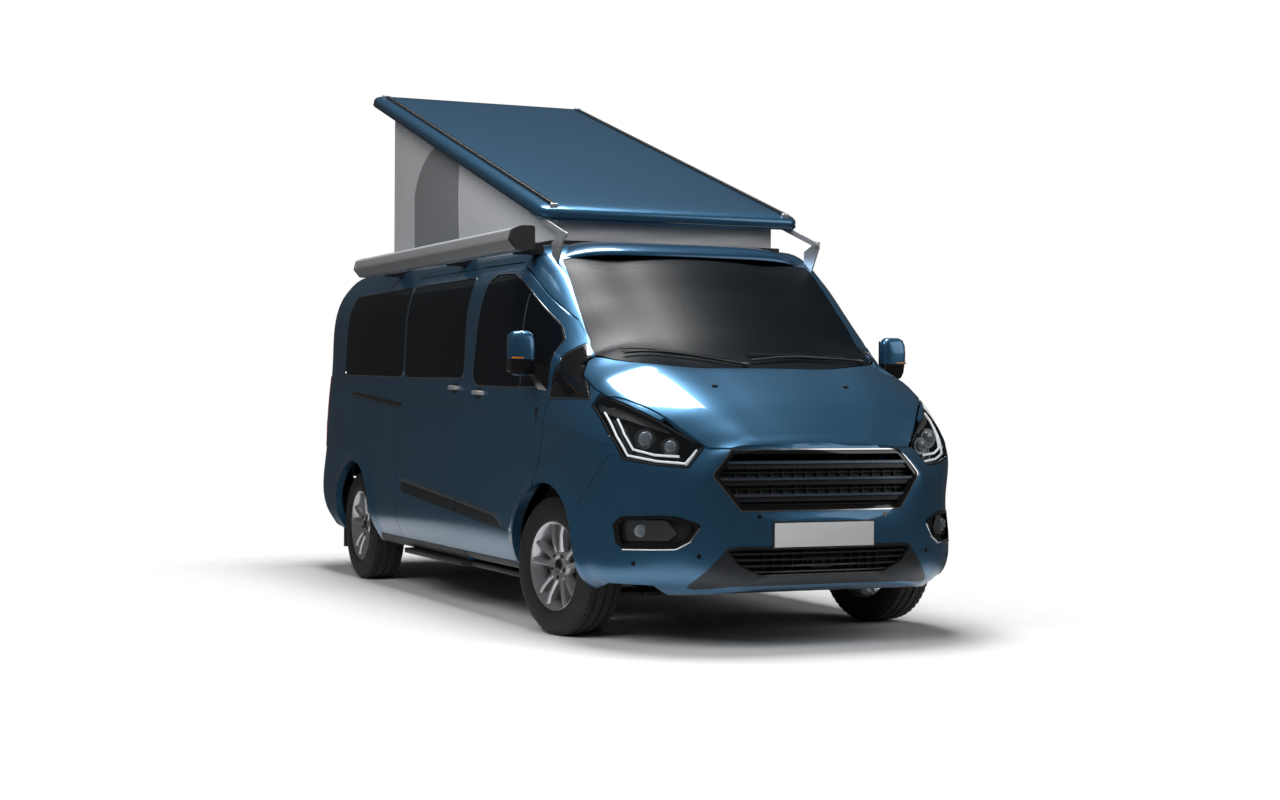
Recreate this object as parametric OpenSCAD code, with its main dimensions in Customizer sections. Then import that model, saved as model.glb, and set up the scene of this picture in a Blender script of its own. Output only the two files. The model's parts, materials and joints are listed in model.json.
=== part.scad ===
// Camper van with a lifting roof: a long-wheelbase panel van body with a hinged sleeping roof,
// fabric bellows, side awning, cab doors, sliding door and tailgate.
// Millimetres. The front faces -Y, +X is the vehicle's left side, +Z is up.
// Origin: on the ground, midway along the length and on the centre plane.

/* [Overall] */
// Length over both bumpers
body_length = 5340; // [5200:10:5500]
// Distance between the front and rear axles
wheelbase = 3300; // [3200:10:3400]
// Front bumper to front axle
front_overhang = 1002; // [960:2:1040]
// Half of the widest body section, without mirrors
half_width = 993; // [960:1:1020]
// Distance between the wheel centre planes of one axle
track = 1740; // [1700:2:1770]

/* [Panels] */
// Thickness of a cab door, sliding door or tailgate
door_t = 52; // [40:1:65]
// Thickness of a lined body side wall
side_t = 46; // [35:1:60]
// Thickness of a pressed wing
wing_t = 6; // [4:1:10]
// Thickness of the bonnet with its inner frame
bonnet_t = 18; // [12:1:28]
// Thickness of the bumper covers
bumper_t = 12; // [8:1:20]
// Thickness of the fixed roof
roof_t = 24; // [16:1:36]
// Thickness of the floor sandwich
floor_t = 60; // [40:2:80]
// Thickness of the window glass
glass_t = 5; // [4:1:8]
// Depth of the glass behind the outer skin
glass_sink = 3; // [1:1:8]
// Gap between a moving panel and its neighbours
seam = 7; // [6:0.5:10]
// Gap between two fixed panels
fixed_seam = 0.6; // [0.3:0.1:0.9]
// Gap between a part and the seat that it rests on
seat_gap = 0.3; // [0.1:0.05:0.5]

/* [Wheels] */
// Outer radius of the tyres
tyre_r = 338; // [330:1:345]
// Width of the tyres
tyre_w = 215; // [195:5:235]
// Radius of the wheel rim at its flange
rim_r = 219; // [205:1:230]
// Radius of the wheel arch openings
arch_r = 405; // [398:1:415]
// Radius of the hub bore that runs on the stub axle
hub_bore_r = 32; // [26:1:38]
// Running clearance between bores and their shafts
run_gap = 0.05; // [0.03:0.01:0.09]
// Angle at which the front wheels stand, towards the left
steer_rest = 10.5; // [0:0.5:20]

/* [Hinges] */
// Cab door hinge axis behind the front axle
door_hinge_s = 185; // [175:1:195]
// Cab door hinge axis from the centre plane
door_hinge_x = 972; // [966:1:976]
// Radius of the cab door hinge pins
door_pin_r = 7; // [5:0.5:8]
// Bonnet hinge axis ahead of the front axle
bonnet_hinge_ahead = 105; // [100:1:108]
// Bonnet hinge axis above the ground
bonnet_hinge_z = 1336; // [1330:1:1338]
// Tailgate hinge axis ahead of the rear face of the body
tailgate_hinge_in = 70; // [60:1:76]
// Tailgate hinge axis above the ground
tailgate_hinge_z = 1916; // [1912:1:1920]
// Radius of the lid hinge pins
lid_pin_r = 6; // [4:0.5:7]

/* [Lifting roof] */
// Angle of the lifted roof
roof_angle = 17.6; // [12:0.2:19]
// Hinge axis behind the front axle
roof_hinge_s = 420; // [400:5:450]
// Hinge axis above the ground
roof_hinge_z = 1990; // [1980:1:2000]
// Front edge of the roof shell, when closed, behind the front axle
roof_front_s = 695; // [680:5:720]
// Length of the roof shell
roof_len = 3325; // [3200:5:3400]
// Half width of the roof shell
roof_half_w = 765; // [740:1:780]
// Height of the roof shell
roof_shell_h = 76; // [60:1:90]
// Wall thickness of the roof shell
roof_shell_t = 22; // [12:1:30]

/* [Awning] */
// Length of the awning box
awning_len = 2850; // [2500:10:3000]
// Front end of the awning box behind the front axle
awning_front_s = 360; // [300:10:420]
// Height of the awning box
awning_h = 118; // [90:1:140]
// Depth of the awning box
awning_d = 128; // [100:1:150]

/* [Hidden] */
$fn = 48;

band = 1.5;                                 // width of a section slice
paint = "steelblue";
front_axle_y = front_overhang - body_length / 2;
rear_axle_y = front_axle_y + wheelbase;
tail_s = body_length - front_overhang;      // rear end behind the front axle
shell_tail_s = tail_s - 62;                 // rear face of the body shell, ahead of the bumper
hub_x = track / 2;
width_k = half_width / 993;                 // widens or narrows every section
mid_s = (shell_tail_s - front_overhang) / 2;
shell_len = shell_tail_s + front_overhang;

// Body sections. Columns: s behind the front axle, underside z, then pairs of half width and height
// for the sill edge, widest line low, widest line high, belt, roof edge, roof shoulder; last the crown z.
// Rows behind the cab are placed from the rear end, so that a longer body stretches between them.
nose = [
  // s      zb   sill x     low x, z     high x, z     belt x, z     edge x, z      shoulder x, z   crown
  [-1002,  400,  150,       190,  430,   240,  560,    220,  588,    170,  598,     100,  604,      607],
  [ -985,  345,  280,       330,  390,   385,  590,    360,  622,    290,  640,     160,  650,      654],
  [ -960,  300,  390,       445,  350,   500,  600,    480,  700,    410,  780,     240,  832,      846],
  [ -932,  280,  460,       520,  330,   572,  610,    552,  800,    470,  890,     300,  932,      942],
  [ -870,  262,  560,       625,  310,   690,  625,    640,  830,    550,  912,     400,  978,     1000],
  [ -800,  255,  640,       715,  300,   772,  645,    745,  850,    630,  965,     450, 1034,     1058],
  [ -700,  250,  740,       812,  300,   846,  670,    846,  880,    730, 1040,     500, 1116,     1136],
  [ -600,  250,  815,       884,  300,   905,  690,    915,  915,    800, 1095,     540, 1182,     1200],
  [ -500,  250,  860,       926,  303,   942,  705,    938,  970,    845, 1135,     570, 1238,     1254],
  [ -400,  250,  882,       948,  306,   964,  716,    948, 1025,    868, 1172,     600, 1284,     1300],
  [ -330,  250,  890,       958,  312,   974,  724,    950, 1055,    874, 1204,     640, 1312,     1316],
  [ -100,  255,  915,       972,  330,   985,  750,    953, 1120,    888, 1270,     785, 1352,     1478],
  [  200,  262,  925,       980,  350,   993,  780,    956, 1180,    868, 1495,     788, 1580,     1704],
  [  469,  266,  930,       980,  360,   993,  800,    957, 1215,    852, 1720,     782, 1805,     1900],
  [  700,  268,  930,       980,  360,   993,  820,    957, 1235,    845, 1850,     778, 1925,     1950],
  [ 1000,  268,  930,       980,  360,   993,  830,    958, 1245,    845, 1865,     780, 1932,     1964]
];
// The same columns, with s measured forward from the rear face of the body shell.
tail = [
  [  900,  275,  930,       980,  360,   993,  850,    958, 1262,    846, 1865,     782, 1932,     1964],
  [  260,  300,  915,       966,  380,   978,  860,    946, 1275,    838, 1860,     776, 1926,     1956],
  [   90,  330,  885,       930,  400,   944,  870,    916, 1282,    815, 1845,     756, 1908,     1936],
  [   24,  360,  840,       880,  430,   892,  880,    868, 1286,    785, 1815,     730, 1876,     1902],
  [    0,  390,  780,       815,  470,   826,  890,    808, 1290,    740, 1770,     690, 1828,     1850]
];
tail_rows = [for (r = tail) concat([shell_tail_s - r[0]], [for (i = [1 : len(r) - 1]) r[i]])];
sections = concat(nose, tail_rows);

function at(s) = front_axle_y + s;

// Height of the outer skin near the roof's shoulder, at s and x.
function row_top(r, x) =
    let (x1 = width_k * r[11] / 2, z1 = (r[12] + 3 * r[13]) / 4)
    z1 + (r[12] - z1) * (x - x1) / (width_k * r[11] - x1);
function top_z(s, x) =
    let (i = max([for (k = [0 : len(sections) - 2]) if (sections[k][0] <= s) k]), a = sections[i], b = sections[i + 1])
    row_top(a, x) + (row_top(b, x) - row_top(a, x)) * (s - a[0]) / (b[0] - a[0]);

// One body section as a closed outline, drawn in by an inset.
function half_outline(r, t) = [
    [width_k * r[2] - t, r[1] + t],
    [width_k * r[3] - t, r[4]],
    [width_k * r[5] - t, r[6]],
    [width_k * r[7] - t, r[8]],
    [width_k * r[9] - t, r[10] - t * 0.35],
    [width_k * r[11] - t, r[12] - t],
    [width_k * r[11] * 0.5, (r[12] + 3 * r[13]) / 4 - t],
    [0, r[13] - t]
];
module section_slice(r, t) {
    half = half_outline(r, t);
    other = [for (i = [len(half) - 2 : -1 : 0]) [-half[i][0], half[i][1]]];
    s_in = mid_s + (r[0] - mid_s) * (shell_len - 2 * t) / shell_len;
    translate([0, at(s_in) + band / 2, 0]) rotate([90, 0, 0])
        linear_extrude(band) polygon(concat(half, other));
}
// The whole outer volume of the body, drawn in by t.
module envelope(t = 0) {
    for (i = [0 : len(sections) - 2]) hull() {
        section_slice(sections[i], t);
        section_slice(sections[i + 1], t);
    }
}
// The skin from depth a to depth b, inside the volume that the children give.
module skin(a, b) {
    intersection() {
        difference() {
            envelope(a);
            envelope(b);
        }
        children();
    }
}

// A side-view outline of [s, z] points as a prism from x0 to x1.
module side_prism(points, x0, x1) {
    translate([x0, front_axle_y, 0]) rotate([90, 0, 90]) linear_extrude(x1 - x0) polygon(points);
}
// The same with its corners rounded.
module side_round_prism(points, r, x0, x1, grow = 0) {
    translate([x0, front_axle_y, 0]) rotate([90, 0, 90]) linear_extrude(x1 - x0)
        offset(r + grow, $fn = 24) offset(-r) polygon(points);
}
// A front-view outline of [x, z] points, mirrored onto both sides, from s0 to s1.
module front_prism_pair(points, r, s0, s1, grow = 0) {
    for (side = [-1, 1]) scale([side, 1, 1])
        translate([0, at(s1), 0]) rotate([90, 0, 0]) linear_extrude(s1 - s0)
            offset(r + grow, $fn = 24) offset(-r) polygon(points);
}
// A plan-view outline of [x, s] points from z0 to z1.
module both_sides(points) { polygon(concat(points, [for (i = [len(points) - 1 : -1 : 0]) [-points[i][0], points[i][1]]])); }
module plan_pair_prism(points, z0, z1) {
    translate([0, front_axle_y, z0]) linear_extrude(z1 - z0) both_sides(points);
}
module block(x0, x1, s0, s1, z0, z1) {
    translate([x0, at(s0), z0]) cube([x1 - x0, s1 - s0, z1 - z0]);
}
module arch_cut(s, r = arch_r) {
    translate([-1200, at(s), tyre_r]) rotate([0, 90, 0]) cylinder(r = r, h = 2400, $fn = 64);
}

/* Panel outlines. Side-view points are [s, z]; plan points are [x, s]. */
belt_z = 1150;
door_front = [[150, 250], [150, 700], [135, 760], [62, belt_z], [72, 1335], [22, 1428], [152, 1545],
              [590, 1800], [720, 1858], [1340, 1862], [1340, 250]];
pillar_trim = [[-355, 1150], [56, 1152], [63, 1333], [14, 1424]];
door_reach = 1292 - door_hinge_s;           // radius that the rear edge of a cab door sweeps
door_window = [[110, 1212], [122, 1360], [108, 1440], [180, 1512], [600, 1752], [735, 1806], [985, 1812],
               [1075, 1780], [1140, 1560], [1190, 1300], [1160, 1245], [1100, 1222], [640, 1212]];
slide_door = [[1270, 262], [1270, 1862], [2445, 1862], [2440, 1300], [2390, 262]];
slide_window = [[1345, 1262], [1325, 1812], [2420, 1812], [2418, 1272]];
quarter_window = [[2452, 1275], [2452, 1812], [3640, 1800], [3700, 1740], [3728, 1330], [3700, 1295]];
left_mid_window = [[1345, 1262], [1325, 1812], [2420, 1812], [2418, 1272]];

// Windscreen base and top edges in plan, as half width against s, along shallow curves.
function base_curve(x, s0) = s0 + 290 * pow(x / 790, 6);
function top_curve(x, s0) = s0 + 70 * pow(x / 720, 2);
x_steps = [0 : 120 : 720];
screen_plan = concat([for (x = x_steps) [x, base_curve(x, -350)]], [[770, -74], [712, 505]],
                     [for (i = [5 : -1 : 0]) [i * 120, top_curve(i * 120, 440)]]);
bonnet_plan = concat([[0, -926], [300, -922], [440, -906], [530, -862], [640, -742], [760, -584], [850, -440],
                      [872, -330], [866, -175], [812, -100], [780, base_curve(780, -372)]], [for (i = [6 : -1 : 0]) [i * 120, base_curve(i * 120, -372)]]);

grille_outline = [[0, 930], [443, 928], [549, 809], [420, 642], [0, 630]];
lamp_outline = [[540, 938], [632, 838], [760, 852], [932, 896], [1000, 1000], [1000, 1175], [890, 1168]];
fog_outline = [[588, 585], [640, 500], [760, 470], [905, 505], [960, 560], [900, 618], [760, 622]];
intake_outline = [[0, 478], [400, 474], [490, 470], [430, 400], [330, 345], [0, 336]];

/* Body shell */
cant_z = 1893;                              // joint between the sides and the roof
floor_z = 500;                              // underside of the floor
floor_top = floor_z + floor_t;
rail_z = 420;                               // underside of the chassis rails
rail_x = 470;                               // centre of a chassis rail
module mirrored_pair() { for (side = [-1, 1]) scale([side, 1, 1]) children(); }
module door_sweep(r) {
    mirrored_pair() translate([door_hinge_x, at(door_hinge_s), 0]) cylinder(r = r, h = 1868, $fn = 128);
}
module floor_pan() {
    color("dimgray") {
        difference() {
            intersection() {
                union() {
                    block(-1000, 1000, -30, shell_tail_s - 100, floor_z, floor_top);
                    mirrored_pair() block(800, 1000, arch_r + 35, wheelbase - arch_r - 35, 275, floor_top);
                }
                envelope(side_t + seat_gap);
            }
            mirrored_pair() {
                block(868, 1100, -300, 1300, 200, 700);
                for (s = [0, wheelbase]) block(560, 1100, s - arch_r - 34, s + arch_r + 34, 200, 700);
            }
            block(-760, 760, shell_tail_s - 145, shell_tail_s, 200, 700);
        }
        mirrored_pair()
            block(rail_x - 40, rail_x + 40, -640, shell_tail_s - 150, rail_z, floor_z + 0.5);
    }
}
// Height of the underside of the sills at s.
function under_z(s) =
    let (i = max([for (k = [0 : len(sections) - 2]) if (sections[k][0] <= s) k]), a = sections[i], b = sections[i + 1])
    a[1] + (b[1] - a[1]) * (s - a[0]) / (b[0] - a[0]) + side_t;
jack_x = 840;                               // middle of a jacking pad
jack_s = [850, 2700];                       // front and rear pads behind the front axle
jack_pad = 30;                              // half width of a pad
jack_z = 290;                               // underside of a pad
jack_bore_r = 10;
tow_s = 4010;                               // middle of the tow bracket plate
tow_plate_h = 12;
tow_bolts = [150, 30];                      // half spacing of the bolts across and along
tow_bolt_r = 6.5;
// Jacking pads under the sills and the plate under the rails that carries a tow bracket.
module chassis_fittings() {
    color("dimgray") {
        mirrored_pair() for (s = jack_s) difference() {
            block(jack_x - jack_pad, jack_x + jack_pad, s - jack_pad, s + jack_pad, jack_z, under_z(s - jack_pad));
            translate([jack_x, at(s), jack_z - 1]) cylinder(r = jack_bore_r, h = 60);
        }
        difference() {
            block(-520, 520, tow_s - 60, tow_s + 60, rail_z - seat_gap - tow_plate_h, rail_z - seat_gap);
            for (x = [-tow_bolts[0], tow_bolts[0]]) for (s = [-tow_bolts[1], tow_bolts[1]])
                translate([x, at(tow_s + s), rail_z - 20]) cylinder(r = tow_bolt_r, h = 30);
        }
    }
}
// Upright panel behind the engine, with the posts that carry the cab doors.
module bulkhead() {
    color("dimgray") difference() {
        union() {
            block(-822, 822, -60, -30 - seat_gap, floor_z + 1, 1215);
            mirrored_pair() block(750, 822, -31, 150, 800, 1145);
        }
        arch_cut(0, arch_r + 36);
        mirrored_pair() block(rail_x - 40 - seat_gap, rail_x + 40 + seat_gap, -100, 0, 300, floor_z + 0.5 + seat_gap);
    }
}

// Leaves the underside of the body open between the sills.
module under_cut() { block(-872, 872, -300, 4400, 100, 480); }
module side_zone(sgn) {
    difference() {
        block(sgn > 0 ? 600 : -1200, sgn > 0 ? 1200 : -600, 1270, shell_tail_s + 10, 262, cant_z);
        door_sweep(door_reach + seam);
        block(-1200, 1200, 1200, 1292, cant_z - 27, cant_z + 10);
        under_cut();
    }
}
tailgate_zone = [[-10, 610], [742, 610], [752, 900], [748, 1290], [722, 1700], [690, 1850], [640, 2000], [-10, 2010]];
tailgate_front_in = 76;                     // front edge of the tailgate, ahead of the rear face
module tailgate_prism(g) {
    mirrored_pair() translate([0, at(shell_tail_s + 50), 0]) rotate([90, 0, 0])
        linear_extrude(50 + tailgate_front_in + 2 * g) offset(delta = g) polygon(tailgate_zone);
}
lamp_zone_z = [820, 1290];

module rear_cuts() {
    tailgate_prism(seam);
    block(-742, 742, shell_tail_s - 200, shell_tail_s + 50, 200, 1700);
    tail_light_zone(fixed_seam);
    arch_cut(wheelbase);
}
module tail_light_zone(g) {
    for (side = [-1, 1]) scale([side, 1, 1])
        block(762 - g, 1200, shell_tail_s - 120 - g, shell_tail_s + 50, lamp_zone_z[0] - g, lamp_zone_z[1] + g);
}

module body_side_left() {
    color(paint) skin(0, side_t) difference() {
        side_zone(1);
        side_round_prism(left_mid_window, 40, 500, 1300);
        side_round_prism(quarter_window, 40, 500, 1300);
        rear_cuts();
    }
}
module body_side_right() {
    color(paint) skin(0, side_t) difference() {
        side_zone(-1);
        side_prism([[1200, 200], [1200, 1862 + fixed_seam], [2445 + fixed_seam, 1862 + fixed_seam],
            [2440 + fixed_seam, 1300], [2390 + fixed_seam, 262], [2390 + fixed_seam, 200]], -1300, -500);
        side_round_prism(quarter_window, 40, -1300, -500);
        rear_cuts();
    }
}
module sliding_door() {
    color(paint) skin(0, side_t) difference() {
        side_prism(slide_door, -1200, -600);
        side_round_prism(slide_window, 40, -1300, -500);
        block(-1300, -500, 0, 4000, 0, 266);
        door_sweep(door_reach + seam);
        under_cut();
    }
}
module side_windows() {
    color([0.1, 0.12, 0.14, 0.9]) skin(glass_sink, glass_sink + glass_t) union() {
        side_round_prism(quarter_window, 40, -1200, -600, -seat_gap);
        side_round_prism(slide_window, 40, -1200, -600, -seat_gap);
        side_round_prism(quarter_window, 40, 600, 1200, -seat_gap);
        side_round_prism(left_mid_window, 40, 600, 1200, -seat_gap);
    }
}

module roof_panel() {
    color(paint) skin(0, roof_t) difference() {
        union() {
            block(-900, 900, 508, shell_tail_s + 10, cant_z + fixed_seam, 2100);
        }
        block(-560, 560, 1050, 3500, 1800, 2200);
        plan_pair_prism(screen_plan, 1700, 2100);
        tailgate_prism(seam + 3);
    }
}
module windscreen_pillars() {
    color(paint) skin(0, side_t) difference() {
        block(-1200, 1200, -170, 1291, 1200, cant_z);
        plan_pair_prism(concat([[0, -900]], [for (p = screen_plan) if (p[0] > 700) p], [[0, 505]]), 900, 2100);
        block(-640, 640, -200, 2000, 900, 2200);
        plan_pair_prism([[0, -900], [880, -900], [880, -166], [824, -82], [0, -82]], 900, 1500);
        mirrored_pair() {
            side_prism(grown_door(), 500, 1300);
            side_prism([for (p = pillar_trim) p + [p[0] < 0 ? -3 : 0, p[1] > 1400 ? 2 : 0]], 500, 1300);
            side_prism([[-700, 900], [60, 900], [60, 1154], [-361, 1150], [-158, 1339], [-126, 1400], [-700, 1400]], 500, 1300);
        }
    }
}
module pillar_trims() {
    color([0.05, 0.05, 0.05]) skin(0, side_t - 16) difference() {
        mirrored_pair() side_prism(pillar_trim, 500, 1300);
        bonnet_gap();
        block(-835, 835, -200, -76, 1000, 1500);
    }
}
// The door opening: the door outline grown by the seam, with room behind its front edge.
function grown_door() = [[150 - seam, 200], [150 - seam, 700], [135 - seam, 760], [62 - seam, belt_z],
    [72 - seam, 1333], [22 - seam - 3, 1430], [148, 1552], [586, 1807], [717, 1858 + seam], [1400, 1862 + seam], [1400, 200]];

module front_wings() {
    color(paint) skin(0, wing_t) difference() {
        mirrored_pair() side_prism([[-604, 896], [-375, 668], [-299, 601], [135 - seam, 601], [135 - seam, 760],
            [62 - seam, belt_z - fixed_seam], [-358, belt_z - fixed_seam], [-158, 1338], [-128, 1396],
            [-700, 1396], [-700, 896]], 640, 1200);
        bonnet_gap();
        arch_cut(0);
        front_prism_pair(lamp_outline, 8, -1100, -380);
        screen_cut();
    }
}
module screen_cut() { plan_pair_prism(concat([[0, -450]], [for (p = screen_plan) if (p[1] < 0) p + [3, -3]], [[0, 0]]), 1100, 1500); }
module bonnet_gap(z0 = 800) {
    plan_pair_prism(concat([[0, -940], [300, -934], [445, -914], [536, -868], [646, -747], [767, -588], [857, -444],
        [879, -331], [873, -171], [818, -94]], [[0, -94]]), z0, 1500);
}
bonnet_hinge_x = 780;                       // middle of a bonnet hinge
module bonnet_hinge_axis(x, len, r) {
    translate([x - len / 2, at(-bonnet_hinge_ahead), bonnet_hinge_z]) rotate([0, 90, 0]) cylinder(r = r, h = len);
}
module bonnet() {
    color(paint) difference() {
        union() {
            skin(0, bonnet_t) difference() {
                plan_pair_prism(bonnet_plan, 880, 1500);
                front_prism_pair(lamp_outline, 8, -1100, -380);
            }
            mirrored_pair() intersection() {
                block(bonnet_hinge_x - 18, bonnet_hinge_x + 18, -bonnet_hinge_ahead - 34, -bonnet_hinge_ahead + 9,
                    bonnet_hinge_z - 11, bonnet_hinge_z + 40);
                envelope(3);
            }
        }
        mirrored_pair() {
            block(bonnet_hinge_x - 9, bonnet_hinge_x + 9, -bonnet_hinge_ahead - 16, 0, bonnet_hinge_z - 40,
                bonnet_hinge_z + 9);
            bonnet_hinge_axis(bonnet_hinge_x, 80, lid_pin_r + 2 * run_gap);
        }
    }
}
// Arms on the bulkhead that hold the pins of the bonnet.
module bonnet_hinges() {
    mirrored_pair() {
        bonnet_hinge_axis(bonnet_hinge_x, 34, lid_pin_r);
        side_prism([
            [-bonnet_hinge_ahead - 7, bonnet_hinge_z + 5], [-bonnet_hinge_ahead + 7, bonnet_hinge_z + 5],
            [-94, 1296], [-60 - seat_gap, 1214], [-60 - seat_gap, 1150], [-bonnet_hinge_ahead - 7, 1280]],
            bonnet_hinge_x - 7, bonnet_hinge_x + 7);
    }
}
module windscreen() {
    color([0.12, 0.15, 0.18, 0.9]) skin(glass_sink, glass_sink + glass_t) difference() {
        plan_pair_prism([for (p = screen_plan) p[0] > 0 ? p - [seat_gap, 0] : p], 1200, 1940);
        mirrored_pair() side_prism(grown_door(), 500, 1300);
    }
}
module scuttle_panel() {
    color("black") skin(glass_sink + glass_t + seat_gap, 34)
        plan_pair_prism(concat([for (i = [0 : 5]) [i * 120, base_curve(i * 120, -372 + seam)]],
            [for (i = [5 : -1 : 0]) [i * 120, base_curve(i * 120, -300)]]), 1150, 1600);
}

/* Front end */
module bumper_zone() {
    side_prism([[-1100, 200], [-1100, 960], [-700, 960], [-700, 896], [-605, 893], [-376, 666], [-300, 600], [-300, 200]], -1100, 1100);
}
module front_bumper() {
    color(paint) skin(0, bumper_t) difference() {
        bumper_zone();
        front_prism_pair(grille_outline, 14, -1200, -700);
        front_prism_pair(lamp_outline, 8, -1100, -380);
        front_prism_pair(fog_outline, 16, -1200, -500);
        front_prism_pair(intake_outline, 10, -1200, -700);
        bonnet_gap();
        arch_cut(0);
        block(-900, 900, -760, -200, 200, 300);
        block(-443, 443, -1100, -900, 912, 1000);
    }
}
module upper_grille() {
    skin(6, 60) difference() {
        front_prism_pair(grille_outline, 14, -1200, -760, -seat_gap);
        for (i = [0 : 3]) for (side = [-1, 1]) scale([side, 1, 1])
            block(30, 400 - 12 * abs(i - 2), -1200, -700, 668 + i * 60, 698 + i * 60);
        bonnet_gap(872);
    }
}
module lower_grille() {
    skin(8, 40) difference() {
        front_prism_pair(intake_outline, 10, -1200, -800, -seat_gap);
        for (i = [0 : 2]) for (side = [-1, 1]) scale([side, 1, 1])
            block(20, 330 + 40 * i, -1200, -700, 362 + i * 38, 384 + i * 38);
    }
}
module grilles() {
    color([0.12, 0.13, 0.15]) {
        upper_grille();
        lower_grille();
    }
}
module headlights() {
    color([0.75, 0.8, 0.85]) skin(0.5, 110) difference() {
        front_prism_pair(lamp_outline, 8, -1100, -400, -seat_gap);
        bonnet_gap();
        block(-1200, 1200, -398, 0, 600, 1300);
    }
}
module fog_lights() {
    color([0.2, 0.2, 0.22]) skin(8, 70) front_prism_pair(fog_outline, 16, -1100, -560, -seat_gap);
}

/* Rear end */
module rear_bumper() {
    color(paint) difference() {
        hull() for (side = [-1, 1]) scale([side, 1, 1]) {
            block(0, 700, tail_s - 220, tail_s, 360, 580);
            translate([760, at(tail_s - 110), 350]) cylinder(r = 108, h = 245, $fn = 32);
        }
        block(-930, 930, 2000, shell_tail_s + seat_gap, 200, 900);
        envelope(-seat_gap);
    }
}
module tail_lights() {
    color("darkred") skin(0.5, 70) tail_light_zone(0);
}
tailgate_hinge_x = 430;                     // middle of a tailgate hinge
module tailgate_hinge_axis(x, len, r) {
    translate([x - len / 2, at(shell_tail_s - tailgate_hinge_in), tailgate_hinge_z]) rotate([0, 90, 0])
        cylinder(r = r, h = len);
}
module tailgate() {
    color(paint) skin(0, door_t) difference() {
        tailgate_prism(0);
        front_prism_pair(tailgate_window, 40, shell_tail_s - 300, shell_tail_s + 80);
        mirrored_pair() {
            block(tailgate_hinge_x - 25, tailgate_hinge_x + 25, shell_tail_s - 100,
                shell_tail_s - tailgate_hinge_in + 12, tailgate_hinge_z - 24, 2000);
            tailgate_hinge_axis(tailgate_hinge_x, 80, lid_pin_r + 2 * run_gap);
        }
    }
}
// Arms on the roof that hold the pins of the tailgate.
module tailgate_hinges() {
    mirrored_pair() {
        tailgate_hinge_axis(tailgate_hinge_x, 74, lid_pin_r);
        block(tailgate_hinge_x - 15, tailgate_hinge_x + 15, shell_tail_s - tailgate_front_in - 2 * (seam + 3) + seat_gap,
            shell_tail_s - tailgate_hinge_in + 7, tailgate_hinge_z - 7, tailgate_hinge_z + 7);
    }
}
tailgate_window = [[-10, 1310], [640, 1310], [645, 1400], [600, 1745], [560, 1775], [-10, 1785]];
module tailgate_glass() {
    color([0.1, 0.12, 0.14, 0.9]) skin(glass_sink, glass_sink + glass_t)
        front_prism_pair(tailgate_window, 40, shell_tail_s - 200, shell_tail_s + 50, -seat_gap);
}

/* Cab doors */
door_hinge_heights = [850, 1040];           // undersides of the lower and upper hinge
door_hinge_h = 60;
module front_door(sgn) {
    color(paint) skin(0, door_t) difference() {
        intersection() {
            scale([sgn, 1, 1]) side_prism(door_front, 560, 1200);
            door_sweep(door_reach);
        }
        scale([sgn, 1, 1]) side_round_prism(door_window, 30, 500, 1300);
        arch_cut(0, arch_r);
        block(-1300, 1300, -200, 1400, 200, 285);
        under_cut();
        mirrored_pair() for (z = door_hinge_heights) {
            block(700, door_hinge_x + 8, 0, door_hinge_s + 12, z, z + door_hinge_h);
            door_pin(z - 12, door_hinge_h + 24, door_pin_r + 2 * run_gap);
        }
    }
}
module door_pin(z, h, r) {
    translate([door_hinge_x, at(door_hinge_s), z]) cylinder(r = r, h = h);
}
// Arms on the bulkhead posts that hold the pins of the cab doors.
module door_hinges() {
    mirrored_pair() for (z = door_hinge_heights) {
        door_pin(z - 10, door_hinge_h + 20, door_pin_r);
        translate([0, 0, z + 8]) linear_extrude(door_hinge_h - 16) polygon([
            [822 + seat_gap, at(112)], [822 + seat_gap, at(146)], [880, at(door_hinge_s + 5)],
            [door_hinge_x, at(door_hinge_s + 7)], [door_hinge_x + 6, at(door_hinge_s)],
            [door_hinge_x, at(door_hinge_s - 7)], [890, at(door_hinge_s - 13)]]);
    }
}
module front_door_glass(sgn) {
    color([0.1, 0.12, 0.14, 0.9]) skin(glass_sink, glass_sink + glass_t)
        scale([sgn, 1, 1]) side_round_prism(door_window, 30, 600, 1200, -seat_gap);
}
module side_mirror(sgn) {
    color(paint) scale([sgn, 1, 1]) difference() {
        union() {
            hull() {
                for (x = [1000, 1112]) for (z = [1290, 1465])
                    translate([x, at(205), z]) sphere(r = 24, $fn = 14);
                for (x = [1000, 1108]) for (z = [1286, 1465])
                    translate([x, at(145), z]) sphere(r = 20, $fn = 14);
            }
            hull() {
                translate([1030, at(190), 1290]) sphere(r = 26, $fn = 14);
                translate([905, at(150), 1200]) sphere(r = 44, $fn = 14);
            }
        }
        envelope(-seat_gap);
    }
}

module panel_hinges() {
    color("dimgray") {
        bonnet_hinges();
        tailgate_hinges();
        door_hinges();
    }
}

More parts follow.
